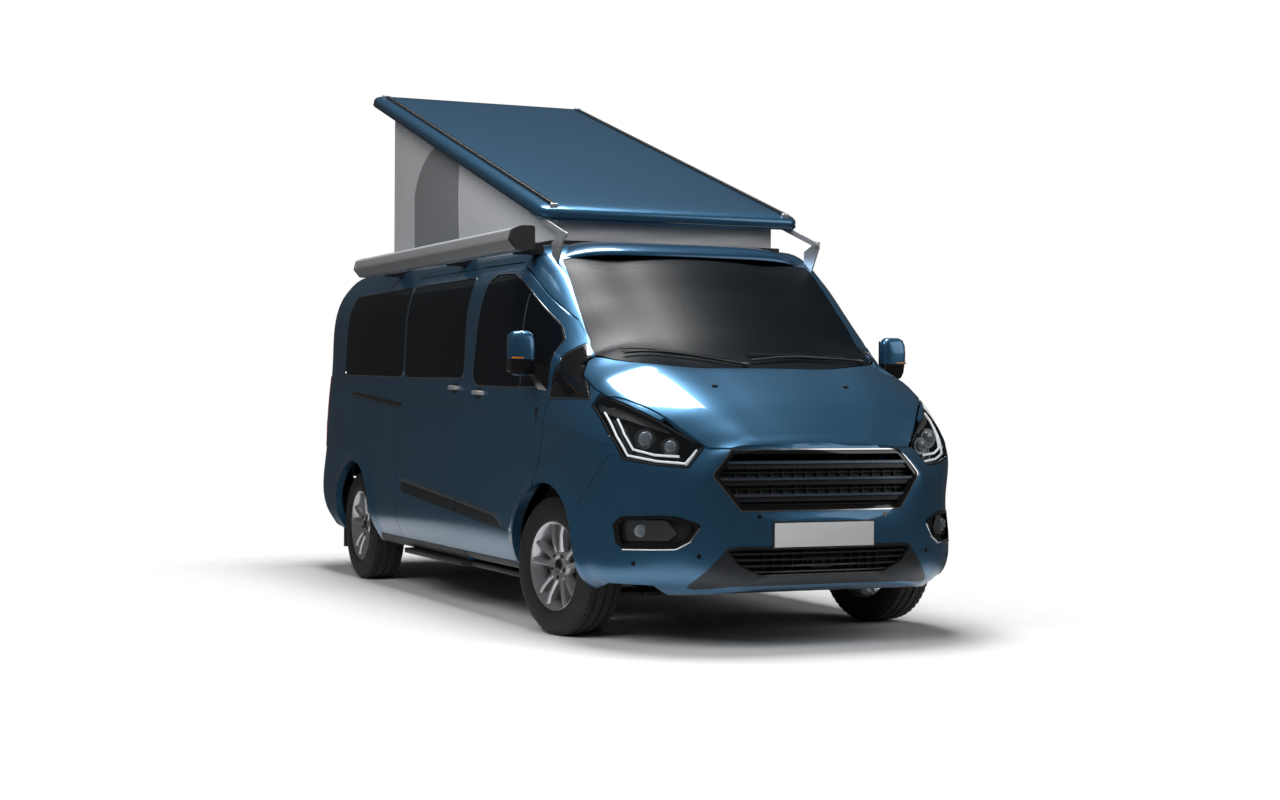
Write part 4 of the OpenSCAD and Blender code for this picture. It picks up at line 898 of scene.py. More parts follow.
for x, z, r in ((0.79, 0.995, 0.036), (0.69, 0.962, 0.030)):
    p, n = front_surface(x, z, -0.062)
    way = Vector((0.18, -1, 0.05))
    bezels.append(disc(p, r + 0.012, 0.028, way, 32))
    p2 = Vector(p) + way.normalized() * 0.0275
    lenses.append(disc(tuple(p2), r, 0.004, way, 32, 0.014))
piece("headlamp_guides", "light_guide", "body", both(join(*guides)))
piece("headlamp_bezels", "satin", "body", both(join(*bezels)))
piece("headlamp_lenses", "projector", "body", both(join(*lenses)))

fog_keep = both(prism(rounded(grown(FOG, -0.001), 0.022), "s", -1.2, -0.5))
fog_hole = both(prism(rounded(grown(FOG, -0.016), 0.02), "s", -1.3, -0.4))
skin_piece("fog_surrounds", "gloss_black", "body", (-0.003, 0.03), [fog_keep], [fog_hole])
skin_piece("fog_pockets", "black_plastic", "body", (0.035, 0.04), [fog_keep], (), "fog_lights")
fog_lens = mm([[680, 540], [712, 508], [860, 500], [882, 520], [880, 580], [860, 596], [720, 600]])
skin_piece("fog_reflectors", "satin", "body", (0.024, 0.028), [lamp_part(fog_lens, 0.014)])
skin_piece("fog_covers", "lamp", "body", (0.008, 0.011), [lamp_part(grown(fog_lens, 0.006), 0.016)])
p, n = front_surface(0.825, 0.55, -0.024)
piece("fog_lamps", "projector", "body", both(disc(p, 0.03, 0.006, (0.45, -1, 0), 28, 0.006)))
piece("fog_strips", "chrome", "body", both(tube(front_path([(0.876, 0.464), (0.694, 0.472), (0.64, 0.505),
        (0.6, 0.568)], 0.001), 0.0055, 8)))

# small parts on the nose
dots = []
for x, z in ((0.33, 0.62), (0.60, 0.44), (0.84, 0.40)):
    p, n = front_surface(x, z, -0.004)
    dots.append(disc(p, 0.011, 0.006, n, 20))
piece("parking_sensors", "gloss_black", "body", both(join(*dots)))
p, n = surface(0.355, -0.564, -0.002)
piece("washer_nozzles", "black_plastic", "bonnet",
        both(join(block(0.34, 0.37, -0.572, -0.548, p[2] - 0.004, p[2] + 0.010, 0.004))))


def screen_path(points, out):
    return [surface(x, s, out)[0] for x, s in points]


wipers = []
for x0, x1 in ((0.60, -0.02), (-0.08, -0.66)):
    a, b = (x0, base_curve(x0 * 1000, -335) / 1000 + 0.0), (x1, base_curve(abs(x1) * 1000,
            -345) / 1000 + 0.06)
    line = [(a[0] + (b[0] - a[0]) * k / 8, a[1] + (b[1] - a[1]) * k / 8 + 0.035 * math.sin(math.pi * k / 8))
            for k in range(9)]
    wipers.append(tube(screen_path(line, 0.012), 0.006, 8))
    blade = [(a[0] + (b[0] - a[0]) * k / 10, a[1] + (b[1] - a[1]) * k / 10 + 0.055) for k in range(1, 11)]
    wipers.append(tube(screen_path(blade, 0.006), 0.004, 6))
    wipers.append(disc(surface(a[0], a[1], -0.004)[0], 0.018, 0.022, (0, -0.3, 1), 20))
piece("wipers", "black_plastic", "body", *wipers)


# ---------------------------------------------------------------- side details
def side_strip(name, mat, body, points, signs, depth=(-0.004, 0.006), r=0.0, remove=()):
    return skin_piece(name, mat, body, depth, [join(*[side_part(points, s, r) for s in signs])], remove)


def handle(s, z, sign):
    path = [side_surface(s + ds, z, sign, out)[0] for ds, out in ((-0.062, -0.004), (-0.05, 0.018),
            (-0.02, 0.026), (0.02, 0.026), (0.05, 0.018), (0.062, -0.004))]
    return tube(path, [0.010, 0.011, 0.012, 0.012, 0.011, 0.010], 10)


def oval(s, z, a, b, n=28):
    return [(s + a * math.cos(2 * math.pi * k / n), z + b * math.sin(2 * math.pi * k / n)) for k in range(n)]


for sign, side in ((1, "left"), (-1, "right")):
    door = "front_door_" + side
    side_strip("handle_recess_" + side, "gloss_black", door, oval(1.053, 1.179, 0.05, 0.03), [sign],
            (-0.0006, 0.003))
    piece("handle_" + side, "silver", door, handle(1.053, 1.179, sign))
side_strip("slider_handle_recess", "gloss_black", "body", oval(1.458, 1.206, 0.05, 0.03), [-1], (-0.0006,
        0.003))
piece("slider_handle", "silver", "body", handle(1.458, 1.206, -1))
side_strip("slider_rail", "gloss_black", "body",
        mm([[2456, 1098], [3510, 1166], [3510, 1188], [2456, 1120]]), [-1], (-0.003, 0.01))
side_strip("slider_rail_edges", "satin", "body",
        mm([[2456, 1092], [3514, 1160], [3514, 1166], [2456, 1098]]), [-1], (-0.004, 0.01))

top_line = lambda s: 0.559 + (s - 0.652) * 0.0726
chrome_front = [(0.652, top_line(0.652)), (1.284, top_line(1.284)), (1.284, top_line(1.284) - 0.017), (0.66,
        top_line(0.66) - 0.018), (0.527, 0.478), (0.51, 0.475)]
grey_front = [(0.664, top_line(0.664) - 0.022), (1.284, top_line(1.284) - 0.022), (1.284, 0.530), (0.535,
        0.478)]
for sign, side in ((1, "left"), (-1, "right")):
    side_strip("door_moulding_" + side, "chrome", "front_door_" + side, chrome_front, [sign], (-0.009, 0.004))
    side_strip("door_plate_" + side, "dark_grille", "front_door_" + side, grey_front, [sign], (-0.006, 0.004))
chrome_rear = [(1.296, top_line(1.296)), (2.277, top_line(2.277)), (2.30, top_line(2.277) - 0.017), (1.296,
        top_line(1.296) - 0.017)]
grey_rear = [(1.296, top_line(1.296) - 0.022), (2.296, top_line(2.277) - 0.022), (2.277, 0.600), (1.296,
        0.531)]
side_strip("side_mouldings", "chrome", "body", chrome_rear, [1, -1], (-0.009, 0.004))
side_strip("side_plates", "dark_grille", "body", grey_rear, [1, -1], (-0.006, 0.004))
side_strip("sill_covers", "black_plastic", "body", mm([[1300, 262], [2880, 262], [2840, 318], [1300, 318]]),
        [1, -1], (-0.003, 0.02))
for sign, side in ((1, "left"), (-1, "right")):
    side_strip("door_sill_" + side, "black_plastic", "front_door_" + side,
            mm([[455, 287], [1284, 287], [1284, 318], [470, 318]]), [sign], (-0.003, 0.02))
step = block(-0.93, -0.80, 0.5, 1.26, 0.235, 0.262, 0.006), block(-0.97, -0.80, 1.32, 2.36, 0.232, 0.262,
        0.006)
piece("entry_steps", "black_plastic", "body", *step)
flaps = [block(0.79, 0.945, 3.752, 3.766, 0.17, 0.5, 0.004)]
piece("mud_flaps", "black_plastic", "body", both(join(*flaps)))

# door linings, seen with the doors open
for sign, side in ((1, "left"), (-1, "right")):
    lining = mm([[235, 420], [235, 1140], [1210, 1170], [1235, 420]])
    skin_piece("door_lining_" + side, "trim_grey", "front_door_" + side, (SIDE_T + 0.0005, SIDE_T + 0.006),
            [side_part(lining, sign, 0.05)],
               [ARCHES[0], block(sign * 0.84 - 0.14, sign * 0.84 + 0.14, 0.0, 0.24, 0.84, 1.11)])

# fixed divider bars in the front door glass
for sign, side in ((1, "left"), (-1, "right")):
    side_strip("divider_bar_" + side, "chrome", "front_door_" + side,
            mm([[452, 1216], [464, 1216], [512, 1690], [500, 1684]]), [sign], (-0.001, 0.004))


# ---------------------------------------------------------------- mirrors
def mirror_ring(z, x0, x1, s0, s1, n=28):
    out = []
    for k in range(n):
        a = 2 * math.pi * k / n
        c, q = math.cos(a), math.sin(a)
        e = 0.55
        out.append(((x0 + x1) / 2 + (x1 - x0) / 2 * abs(c) ** e * (1 if c > 0 else -1),
                    (s0 + s1) / 2 + (s1 - s0) / 2 * abs(q) ** e * (1 if q > 0 else -1), z))
    return out


for sign, side in ((1, "left"), (-1, "right")):
    body = "front_door_" + side
    flip = (lambda p: p) if sign > 0 else mirrored
    cap = loft([mirror_ring(z, x0, x1, s0, s1) for z, x0, x1, s0, s1 in (
        (1.345, 0.992, 1.126, 0.128, 0.212), (1.40, 0.992, 1.128, 0.128, 0.212), (1.445, 0.995, 1.126,
            0.132, 0.212),
        (1.472, 1.004, 1.117, 0.142, 0.211), (1.485, 1.022, 1.098, 0.158, 0.206))])
    foot = loft([mirror_ring(z, x0, x1, s0, s1) for z, x0, x1, s0, s1 in (
        (1.262, 1.02, 1.085, 0.15, 0.205), (1.272, 1.0, 1.105, 0.136, 0.212), (1.30, 0.992, 1.118, 0.13,
            0.214), (1.3445, 0.992, 1.125, 0.13, 0.214))])
    face = block(1.002, 1.118, 0.213, 0.219, 1.285, 1.468, 0.0025)
    arm = loft([[(0.93, 0.085, 1.165), (0.93, 0.215, 1.165), (0.93, 0.205, 1.31), (0.93, 0.12, 1.31)],
                [(1.0, 0.135, 1.262), (1.0, 0.208, 1.262), (1.0, 0.208, 1.325), (1.0, 0.14, 1.325)]])
    piece("mirror_cap_" + side, "paint", body, flip(cap), replaces="mirror_" + side)
    piece("mirror_foot_" + side, "gloss_black", body, flip(foot), flip(arm))
    piece("mirror_glass_" + side, "mirror_glass", body, flip(face))
    piece("mirror_signal_" + side, "amber", body,
            flip(block(1.06, 1.1225, 0.1275, 0.134, 1.348, 1.356, 0.002)))


# ---------------------------------------------------------------- roof cap and lifting roof
def cap_ring(x):
    """Side profile of the cab-roof cap at x."""
    k = abs(x) / 0.775
    drop = 0.105 * k ** 6
    front = 0.452 + 0.085 * k ** 3
    return [(x, s, z) for s, z in ((front, 1.901 - drop * 0.6), (front + 0.002, 1.915 - drop * 0.7),
            (front + 0.03, 1.938 - drop * 0.8),
            (front + 0.09, 1.966 - drop), (0.66, 1.984 - drop), (0.728, 1.984 - drop), (0.728, 1.90 - drop),
            (0.60, 1.87 - drop))]


piece("roof_cap", "roof_paint", "body", loft([cap_ring(x) for x in np.linspace(-0.775, 0.775, 41)]),
        replaces="roof_cap", angle=50)

CLOSED_Z, HINGE = 2.003, (0.42, 1.99)
LIFT = math.radians(17.6)


def raised(part):
    c, q = math.cos(LIFT), math.sin(LIFT)
    return moved(part, lambda x, s, z: (x, HINGE[0] + (s - HINGE[0]) * c - (z - HINGE[1]) * q,
            HINGE[1] + (s - HINGE[0]) * q + (z - HINGE[1]) * c))


def roof_ring(inset, h, n=10):
    out = []
    s0, s1, half = 0.695 + inset, 4.02 - inset, 0.765 - inset
    r = max(0.075 - inset * 0.3, 0.02)
    for cx, cs, a0 in ((half - r, s0 + r, -90), (half - 0.012 - r, s1 - r, 0), (-half + 0.012 + r, s1 - r,
            90), (-half + r, s0 + r, 180)):
        for k in range(n + 1):
            a = math.radians(a0 + 90 * k / n)
            out.append((cx + r * math.cos(a), cs + r * math.sin(a), CLOSED_Z + h))
    return out


rings = [roof_ring(i, h) for i, h in ((0.2, 0.053), (0.10, 0.050), (0.03, 0.03), (0.02, 0.001), (0.002,
        0.0), (0, 0.008), (0.0, 0.038), (0.004, 0.048),
                                      (0.014, 0.058), (0.032, 0.066), (0.06, 0.0705), (0.1, 0.0735), (0.16,
        0.076), (0.3, 0.078))]
piece("lifting_roof", "paint", "lifting_roof", raised(loft(rings)), replaces="lifting_roof", angle=50)
rails, slots, ends, groove = [], [], [], []
for sign in (1, -1):
    for x0, x1, z0, z1, out in ((0.668, 0.704, 0.060, 0.0795, rails), (0.682, 0.690, 0.0795, 0.0815, slots)):
        row = [(x0, x1, 0.735), (x0 - 0.012, x1 - 0.012, 3.93)]
        out.append(loft([[(sign * a, s, CLOSED_Z + z0), (sign * b, s, CLOSED_Z + z0), (sign * b, s,
                CLOSED_Z + z1), (sign * a, s, CLOSED_Z + z1)] for a, b, s in row]))
    for s in (0.722, 3.92):
        ends.append(block(min(sign * 0.664, sign * 0.706), max(sign * 0.664, sign * 0.706), s, s + 0.02,
                CLOSED_Z + 0.058, CLOSED_Z + 0.083, 0.004))
piece("roof_rails", "gloss_black", "lifting_roof", raised(join(*rails)))
piece("roof_rail_slots", "satin", "lifting_roof", raised(join(*slots)))
piece("roof_rail_ends", "silver", "lifting_roof", raised(join(*ends)))
lip = [p for p in roof_ring(-0.0015, 0.012)]
piece("roof_edge_line", "gloss_black", "lifting_roof", raised(tube(lip, 0.003, 6, closed=True)))

# ---------------------------------------------------------------- canvas
FRAME_Z = 1.9885


def top_of(s, inset=0.0):
    """Height of the cloth's upper edge under the raised roof at s."""
    c, q = math.cos(LIFT), math.sin(LIFT)
    h = CLOSED_Z + 0.026 - HINGE[1]
    return HINGE[1] + (s - HINGE[0] + h * q) / c * q + h * c - inset


def folds(u, v, seed):
    r = random.Random(seed)
    d = 0.0
    for _ in range(7):
        f, p, t, a = r.uniform(3, 13), r.uniform(0, 6), r.uniform(-5, 5), r.uniform(0.4, 1.0)
        d += a * math.sin(f * u + t * v + p) ** 3
    return d / 4


def cloth(name, corners, nu, nv, seed, depth, mat="canvas", replaces=(), outward_by=(0, 0)):
    """A wall of cloth between a lower and an upper edge, given as functions of u from 0 to 1."""
    low, high, normal = corners
    points, flat = [], 0.0
    for j in range(nv + 1):
        for i in range(nu + 1):
            u, v = i / nu, j / nv
            a, b = np.array(low(u)), np.array(high(u))
            edge = math.sin(math.pi * min(1, max(0, v))) ** 0.6 * min(1, 8 * u, 8 * (1 - u))
            d = (folds(u, v, seed) * depth + outward_by[0]) * edge
            points.append(tuple(a + (b - a) * v + np.array(normal) * d))
    faces = [(j * (nu + 1) + i, j * (nu + 1) + i + 1, (j + 1) * (nu + 1) + i + 1, (j + 1) * (nu + 1) + i)
            for j in range(nv) for i in range(nu)]
    ob = piece(name, mat, "body", (points, faces), replaces=replaces, angle=80)
    return ob


def flat_area(low, high, n=60):
    total = 0.0
    for i in range(n):
        a, b, c, d = (np.array(f((i + k) / n)) for f, k in ((low, 0), (low, 1), (high, 1), (high, 0)))
        total += (np.linalg.norm(np.cross(b - a, d - a)) + np.linalg.norm(np.cross(b - c, d - c))) / 2
    return float(total)


S0, S1, CX = 0.765, 3.69, 0.634
walls = {
    "canvas_left": ((lambda u: (CX, S0 + (S1 - S0) * u, FRAME_Z)),
        (lambda u: (CX, S0 + (S1 - S0) * u, top_of(S0 + (S1 - S0) * u))), (1, 0, 0)),
    "canvas_right": ((lambda u: (-CX, S0 + (S1 - S0) * u, FRAME_Z)),
        (lambda u: (-CX, S0 + (S1 - S0) * u, top_of(S0 + (S1 - S0) * u))), (-1, 0, 0)),
    "canvas_front": ((lambda u: (-CX + 2 * CX * u, S0, FRAME_Z)),
        (lambda u: (-CX + 2 * CX * u, S0, top_of(S0))), (0, -1, 0)),
    "canvas_rear": ((lambda u: (-CX + 2 * CX * u, S1, FRAME_Z)),
        (lambda u: (-CX + 2 * CX * u, S1, top_of(S1))), (0, 1, 0)),
}
for k, (name, wall) in enumerate(walls.items()):
    nu, nv = (150, 44) if "left" in name or "right" in name else (90, 30)
    depth = 0.014 if "front" in name else 0.010
    ob = cloth(name, wall, nu, nv, k + 3, depth, replaces="bellows" if k == 0 else (), outward_by=(0.004, 0))
    area = flat_area(wall[0], wall[1])
    length = S1 - S0 if k < 2 else 2 * CX
    height = top_of(S1) - FRAME_Z if k != 2 else top_of(S0) - FRAME_Z
    round(height + 0.003, 3)
    round(length + 0.003, 3)
    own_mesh(ob)

for sign, side in ((1, "left"), (-1, "right")):
    # arched window of mesh, tilted with the roof line
    s0, s1, z0 = 2.36, 3.24, 2.06
    outline = []
    for k in range(25):
        t = k / 24
        s = s0 + (s1 - s0) * t
        w = (t - 0.38) / (0.48 if t < 0.38 else 0.66)
        z1 = min(2.30 + 0.41 * math.sqrt(1 - w * w), top_of(s) - 0.05)
        outline.append((s, z1))
    points = []
    for j in range(13):
        for s, z1 in outline:
            v = j / 12
            u = (s - S0) / (S1 - S0)
            z = z0 + (z1 - z0) * v
            vv = (z - FRAME_Z) / (top_of(s) - FRAME_Z)
            seed = 3 if sign > 0 else 4
            edge = math.sin(math.pi * vv) ** 0.6 * min(1, 8 * u, 8 * (1 - u))
            points.append((sign * (CX + 0.0035 + (folds(u, vv, seed) * 0.010 + 0.004) * edge), s, z))
    faces = [(j * 25 + i, j * 25 + i + 1, (j + 1) * 25 + i + 1, (j + 1) * 25 + i) for j in range(12)
            for i in range(24)]
    ob = piece("canvas_window_" + side, "mesh_screen", "body", (points, faces), angle=80)
    area = sum((z1 - z0) for _, z1 in outline) / 25 * (s1 - s0)
    tallest = max(z for _, z in outline) - z0
    round(tallest + 0.003, 3)
    round(s1 - s0 + 0.003, 3)
    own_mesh(ob)

# ---------------------------------------------------------------- awning
AX, AZ = -0.918, 1.905
profile = [(0, 0), (0.088, 0), (0.128, 0.047), (0.114, 0.1), (0.068, 0.118), (0, 0.118)]


def awning(s0, s1, g=0.0):
    ring = rounded(grown([(AX - a, AZ + b) for a, b in profile], g), 0.016)
    return prism(ring, "s", s0, s1)


piece("awning_box", "silver", "body", awning(0.402, 3.168), replaces="awning_box", angle=25)
piece("awning_front_end", "trim_grey", "body", awning(0.36, 0.402, 0.002), angle=25)
piece("awning_rear_end", "silver", "body", awning(3.168, 3.21, 0.002), angle=25)
piece("awning_grooves", "trim_grey", "body", block(AX - 0.1232, AX - 0.05, 0.404, 3.166, AZ + 0.0565,
        AZ + 0.0595))


# ---------------------------------------------------------------- wheels
def steer(part, sign):
    a, cx = math.radians(10.5), sign * 0.79
    return moved(part, lambda x, s, z: (cx + (x - cx) * math.cos(a) - s * math.sin(a),
            (x - cx) * math.sin(a) + s * math.cos(a), z))


def turned(part, angle, c):
    ca, sa = math.cos(angle), math.sin(angle)
    return moved(part, lambda x, s, z: (x, c[1] + (s - c[1]) * ca - (z - c[2]) * sa,
            c[2] + (s - c[1]) * sa + (z - c[2]) * ca))


def wheel_parts(sign, s):
    c = (sign * 0.87, s, TYRE_R)
    rim = [(0.2105, -0.0865), (0.2185, -0.0865), (0.2185, -0.076), (0.2065, -0.066), (0.196, -0.04), (0.19,
            0.0), (0.192, 0.05), (0.206, 0.072), (0.2185, 0.08),
           (0.222, 0.09), (0.2155, 0.0935), (0.207, 0.088), (0.2, 0.074), (0.184, 0.05), (0.182, 0.0),
            (0.188, -0.045), (0.2, -0.074)]
    hub = [(0.0322, 0.02), (0.0322, 0.06), (0.05, 0.068), (0.075, 0.066), (0.083, 0.05), (0.078, 0.02)]
    silver = [revolve(rim, c, 96, sign), revolve(hub, c, 60, sign)]
    for k in range(5):
        for d in (-1, 1):
            rings = []
            for r, w, face, deep, off in ((0.062, 0.017, 0.0655, 0.03, 0.017), (0.10, 0.0145, 0.075, 0.036,
                    0.027), (0.15, 0.0135, 0.0835, 0.04, 0.036), (0.205, 0.019, 0.084, 0.045, 0.047)):
                q = d * off
                rings.append([(c[0] + sign * x, s + q + e, TYRE_R + r) for e, x in (
                    (-w, deep), (-w, face - 0.010), (-w * 0.45, face), (w * 0.45, face), (w, face - 0.010),
                        (w, deep))])
            silver.append(turned(outward(loft(rings)), 2 * math.pi * k / 5, c))
    dark = [revolve([(0.0005, 0.062), (0.0005, 0.0695), (0.024, 0.0695), (0.030, 0.066), (0.030, 0.062)], c,
            40, sign)]
    ring = [revolve([(0.0300, 0.062), (0.0300, 0.0675), (0.034, 0.0675), (0.036, 0.062)], c, 40, sign)]
    for k in range(5):
        nut = disc((c[0] + sign * 0.062, s, TYRE_R + 0.056), 0.0085, 0.010, (sign, 0, 0), 12)
        dark.append(turned(nut, 2 * math.pi * (k + 0.5) / 5, c))
    brake = [revolve([(0.085, -0.004), (0.150, -0.004), (0.150, 0.016), (0.085, 0.016)], c, 64, sign)]
    w, groove = 0.1075, 0.008
    tread = [(0.213, -w + 0.020), (0.222, -w + 0.008), (0.24, -w + 0.003), (0.27, -w - 0.0005), (0.3,
            -w + 0.002), (0.318, -w + 0.008), (0.330, -w + 0.02)]
    crown = []
    for x0, x1 in ((-0.085, -0.052), (-0.043, -0.006), (0.006, 0.043), (0.052, 0.085)):
        crown += [(0.3375 - abs(x0) ** 2 * 0.35 - groove, x0 - 0.0005), (0.3378 - abs(x0) ** 2 * 0.35, x0),
                (0.3378 - abs(x1) ** 2 * 0.35, x1),
                  (0.3375 - abs(x1) ** 2 * 0.35 - groove, x1 + 0.0005)]
    crown = crown[1:-1]
    back = [(r, -x) for r, x in reversed(tread)]
    ring_profile = tread + crown + back
    rubber = revolve(ring_profile, c, 216, sign)
    # shallow cross grooves in the outer tread blocks
    n, first = len(ring_profile), len(tread)
    points = [list(p) for p in rubber[0]]
    for i in range(216):
        if i % 4 == 0:
            for k in (first - 1, first, first + 1, first + len(crown) - 2, first + len(crown) - 1,
                    first + len(crown)):
                p = points[i * n + k]
                for a, mid in ((1, s), (2, TYRE_R)):
                    p[a] = mid + (p[a] - mid) * 0.982
    return silver, dark, ring, brake, (points, rubber[1])


for sign, side in ((1, "left"), (-1, "right")):
    for end, s in (("front", 0.0), ("rear", WHEELBASE)):
        silver, dark, ring, brake, rubber = wheel_parts(sign, s)
        turn = (lambda p: steer(p, sign)) if end == "front" else (lambda p: p)
        name = "%s_%s" % (end, side)
        body = "wheel_" + name
        piece("rim_" + name, "alloy", body, *[turn(p) for p in silver], replaces="rim_" + name, angle=32)
        piece("wheel_centre_" + name, "gloss_black", body, *[turn(p) for p in dark])
        piece("wheel_ring_" + name, "satin", body, *[turn(p) for p in ring])
        piece("brake_disc_" + name, "steel", body, *[turn(p) for p in brake])
        piece("tyre_" + name, "tyre", body, turn(rubber), replaces="tyre_" + name, angle=40)

# ---------------------------------------------------------------- rear
def rear_ring(z, g):
    half = [(0.0, 4.338 - g), (0.55, 4.336 - g), (0.74, 4.325 - g), (0.82, 4.295 - g), (0.865 - g, 4.23),
            (0.868 - g, 4.15)]
    inner = [(0.84, 4.15), (0.80, 4.262), (0.70, 4.279), (0.0, 4.279)]
    ring = half + inner
    return [(x, s, z) for x, s in ring] + [(-x, s, z) for x, s in reversed(ring) if x > 0]


bumper = loft([rear_ring(z, g) for z, g in ((0.352, 0.03), (0.362, 0.012), (0.40, 0.002), (0.53, 0.0),
        (0.578, 0.004), (0.594, 0.014))])
piece("rear_bumper", "paint", "body", bumper, replaces="rear_bumper", angle=30)
piece("bumper_step", "black_plastic", "body", block(-0.5, 0.5, 4.285, 4.322, 0.5945, 0.599, 0.002))
piece("rear_reflectors", "red_lens", "body", both(block(0.60, 0.73, 4.326, 4.332, 0.44, 0.47, 0.003)))


piece("rear_plate", "plate", "tailgate", block(-0.26, 0.26, TAIL_S + 0.004, TAIL_S + 0.008, 0.80, 0.911,
        0.0015))
piece("rear_plate_holder", "black_plastic", "tailgate", block(-0.275, 0.275, TAIL_S - 0.002, TAIL_S + 0.004,
        0.79, 0.922, 0.002))
piece("tailgate_handle", "chrome", "tailgate", block(-0.33, 0.33, TAIL_S - 0.004, TAIL_S + 0.014, 0.945,
        0.975, 0.006))
piece("rear_wiper", "black_plastic", "tailgate",
        tube([(0.0, TAIL_S + 0.012, 1.345), (-0.18, TAIL_S + 0.016, 1.36), (-0.46, TAIL_S + 0.012, 1.39)],
        0.007, 8),
      disc((0.0, TAIL_S - 0.004, 1.345), 0.02, 0.02, (0, 1, 0), 20))
piece("high_brake_lamp", "red_lens", "tailgate", block(-0.16, 0.16, TAIL_S - 0.02, TAIL_S + 0.002, 1.80,
        1.815, 0.002))
skin_piece("reversing_lamps", "white_lens", "body", (-0.006, 0.0),
        [both(block(0.765, 1.2, TAIL_S - 0.117, TAIL_S + 0.06, 0.93, 1.0))])

# ---------------------------------------------------------------- inside
def cushion(x0, x1, s0, s1, z0, z1, r=0.045, lean=0.0, pivot=(0, 0)):
    bm = bmesh.new()
    bmesh.ops.create_cube(bm, size=1)
    for v in bm.verts:
        v.co = Vector((x0 if v.co.x < 0 else x1, s0 if v.co.y < 0 else s1, z0 if v.co.z < 0 else z1))
    bmesh.ops.bevel(bm, geom=bm.edges[:], offset=r, affect="EDGES", segments=5, profile=0.5, material=-1)
    part = from_bmesh(bm)
    c, q = math.cos(lean), math.sin(lean)
    return moved(part, lambda x, s, z: (x, pivot[0] + (s - pivot[0]) * c + (z - pivot[1]) * q,
            pivot[1] - (s - pivot[0]) * q + (z - pivot[1]) * c))


for x, side in ((-0.43, "right"), (0.43, "left")):
    lean, pivot = math.radians(12), (1.05, 0.8)
    seat = piece("cab_cushion_" + side, "seat_cloth", "body", cushion(x - 0.24, x + 0.24, 0.62, 1.1, 0.74,
            0.87),
                 replaces="front_seats" if side == "right" else ())
    back = piece("cab_backrest_" + side, "seat_cloth", "body", cushion(x - 0.225, x + 0.225, 1.05, 1.17,
            0.82, 1.42, 0.05, lean, pivot))
    head = piece("cab_headrest_" + side, "seat_cloth", "body", cushion(x - 0.125, x + 0.125, 1.055, 1.145,
            1.46, 1.62, 0.04, lean, pivot))
    posts = [tube([(x + d, 1.22, 1.38), (x + d, 1.245, 1.5)], 0.007, 8) for d in (-0.06, 0.06)]
    piece("headrest_posts_" + side, "steel", "body", *posts)
    piece("seat_base_" + side, "trim_grey", "body", block(x - 0.18, x + 0.18, 0.69, 1.05, 0.56, 0.742, 0.012))
bench = piece("bench_cushion", "seat_cloth", "body", cushion(-0.45, 0.54, 2.45, 2.93, 0.80, 0.94),
        replaces="rear_bench")
rest = piece("bench_backrest", "seat_cloth", "body", cushion(-0.45, 0.54, 2.91, 3.045, 0.93, 1.5))
piece("bench_box", "furniture", "body", block(-0.44, 0.53, 2.47, 2.94, 0.56, 0.802, 0.006))


def dash_ring(x):
    k = abs(x) / 0.74
    return [(x, s, z) for s, z in ((-0.028, 1.15), (0.0, 1.196 - 0.02 * k), (0.10, 1.212 - 0.02 * k), (0.20,
            1.200 - 0.02 * k), (0.30, 1.165), (0.328, 1.12), (0.31, 1.045),
                                  (0.22, 1.02), (0.19, 0.90), (0.06, 0.885), (0.05, 1.10))]


piece("dashboard", "trim_grey", "body", loft([dash_ring(x) for x in np.linspace(-0.738, 0.738, 13)]),
        replaces="dashboard", angle=50)
piece("instrument_hood", "gloss_black", "body", block(0.27, 0.57, 0.17, 0.315, 1.17, 1.232, 0.02),
        block(-0.12, 0.12, 0.29, 0.335, 1.10, 1.20, 0.008))


def wheel_frame(part):
    a = math.radians(37)
    return moved(part, lambda x, s, z: (0.42 + x, 0.5 + s * math.cos(a) + z * math.sin(a),
            1.2 - s * math.sin(a) + z * math.cos(a)))


ring = tube([(0.18 * math.cos(2 * math.pi * k / 48), 0.18 * math.sin(2 * math.pi * k / 48), 0)
        for k in range(48)], 0.0145, 12, closed=True)
spokes = [tube([(0.04 * math.cos(a), 0.04 * math.sin(a), -0.004), (0.176 * math.cos(a), 0.176 * math.sin(a),
        0)], 0.012, 8)
          for a in (math.radians(d) for d in (90 + 90, 90 - 90, -90 + 180 + 90 + 90))]
boss = revolve([(0.0005, -0.03), (0.0005, 0.02), (0.045, 0.018), (0.058, 0.004), (0.05, -0.03)], (0, 0, 0),
        40)
boss = moved(boss, lambda x, s, z: (s, z, x))
piece("steering_wheel", "trim_grey", "steering_wheel", wheel_frame(outward(boss)), wheel_frame(ring),
        *[wheel_frame(p) for p in spokes], replaces="steering_wheel")

# ---------------------------------------------------------------- CAD pieces that stay in view
for sub in frame["record"]["subparts"]:
    ob = frame["nodes"][sub["node"]]
    ob.data.materials.clear()
    ob.data.materials.append(M[{"tail_lamp": "red_lens"}.get(sub["material_slot"], sub["material_slot"])].mat)


# ---------------------------------------------------------------- stage
bpy.data.objects.remove(base)
bpy.data.objects.remove(scratch)


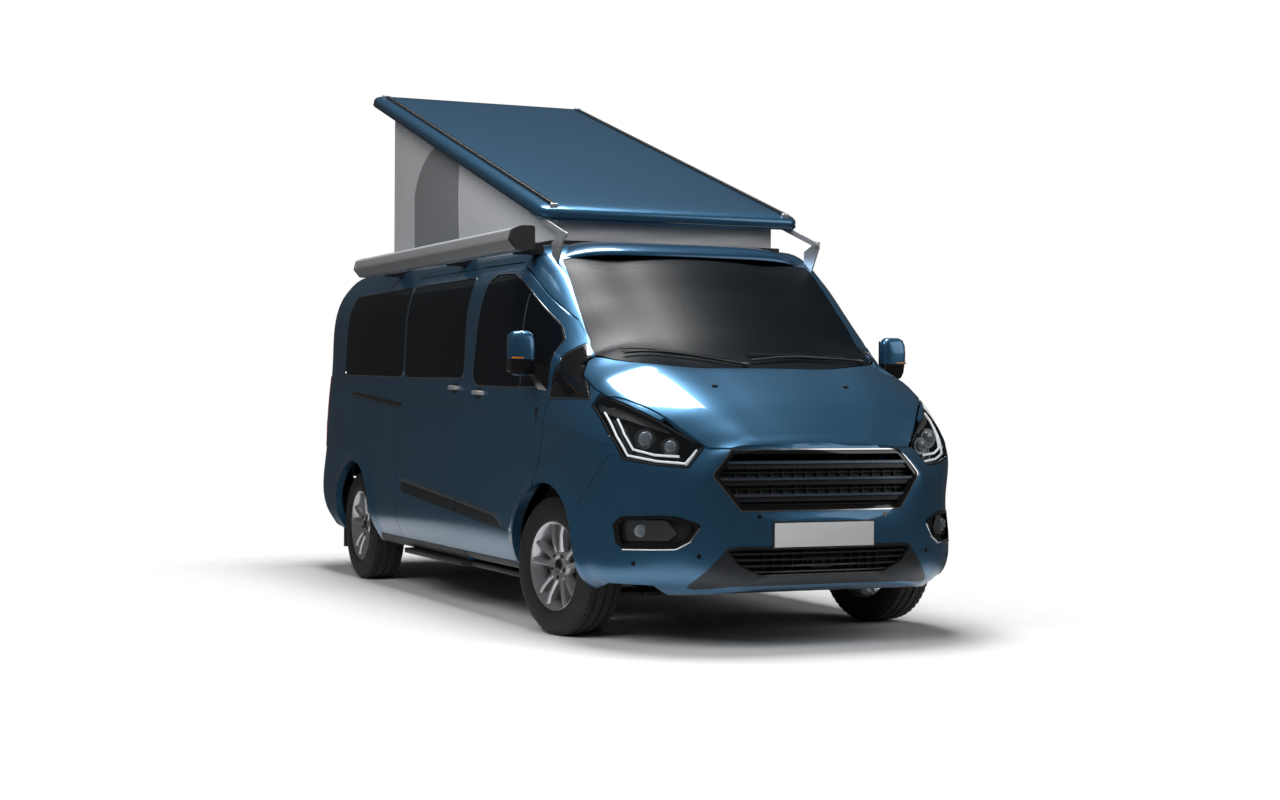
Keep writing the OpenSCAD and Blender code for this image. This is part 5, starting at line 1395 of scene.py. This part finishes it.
def stage():
    scene = bpy.context.scene
    scene.view_settings.view_transform = "Standard"
    world = bpy.data.worlds.new("studio")
    world.use_nodes = True
    t = world.node_tree
    bg = t.nodes["Background"]
    level = t.nodes.new("ShaderNodeMapRange")
    for key, value in (("From Min", -0.1), ("From Max", 0.9), ("To Min", 0.85), ("To Max", 1.25)):
        level.inputs[key].default_value = value
    way = t.nodes.new("ShaderNodeNewGeometry")
    part = t.nodes.new("ShaderNodeSeparateXYZ")
    t.links.new(way.outputs["Incoming"], part.inputs[0])
    t.links.new(part.outputs["Z"], level.inputs["Value"])
    t.links.new(level.outputs[0], bg.inputs["Strength"])
    seen = t.nodes.new("ShaderNodeBackground")
    seen.inputs["Color"].default_value = (1, 1, 1, 1)
    path = t.nodes.new("ShaderNodeLightPath")
    mixer = t.nodes.new("ShaderNodeMixShader")
    t.links.new(path.outputs["Is Camera Ray"], mixer.inputs[0])
    t.links.new(bg.outputs[0], mixer.inputs[1])
    t.links.new(seen.outputs[0], mixer.inputs[2])
    t.links.new(mixer.outputs[0], t.nodes["World Output"].inputs[0])
    scene.world = world
    floor = bpy.data.meshes.new("floor")
    floor.from_pydata([(-60, -60, 0), (60, -60, 0), (60, 60, 0), (-60, 60, 0)], [], [(0, 1, 2, 3)])
    ob = bpy.data.objects.new("floor", floor)
    scene.collection.objects.link(ob)
    m = Material("floor", (0.86, 0.86, 0.86), 0.9)
    place = m.place()
    reach = [m.node("SeparateXYZ", axis, links=[("Vector", place)]).math("ABSOLUTE", None).math("SUBTRACT",
            half).math("MAXIMUM", 0.0)
             for axis, half in (("X", 0.75), ("Y", 2.4))]
    far = (reach[0] * reach[0] + reach[1] * reach[1]).math("SQRT", None)
    m.set("Alpha", m.node("MapRange", "Result", links=[("Value", far)], From_Min=0.4, From_Max=1.5,
            To_Min=1.0, To_Max=0.0, interpolation_type="SMOOTHSTEP"))
    floor.materials.append(m.mat)
    for name, place, aim, energy, wide in (("key", (-6, -5, 6), (0, -0.5, 1), 420, 5), ("fill", (6, -6, 5),
            (0, 0, 1), 160, 6),
                                           ("top", (0, 0.5, 9), (0, 0, 0), 900, 4)):
        light = bpy.data.lights.new(name, "AREA")
        light.energy, light.size = energy, wide
        lamp = bpy.data.objects.new(name, light)
        lamp.location = place
        lamp.rotation_euler = (Vector(aim) - Vector(place)).to_track_quat("-Z", "Y").to_euler()
        lamp.visible_glossy = name != "key"
        scene.collection.objects.link(lamp)


stage()
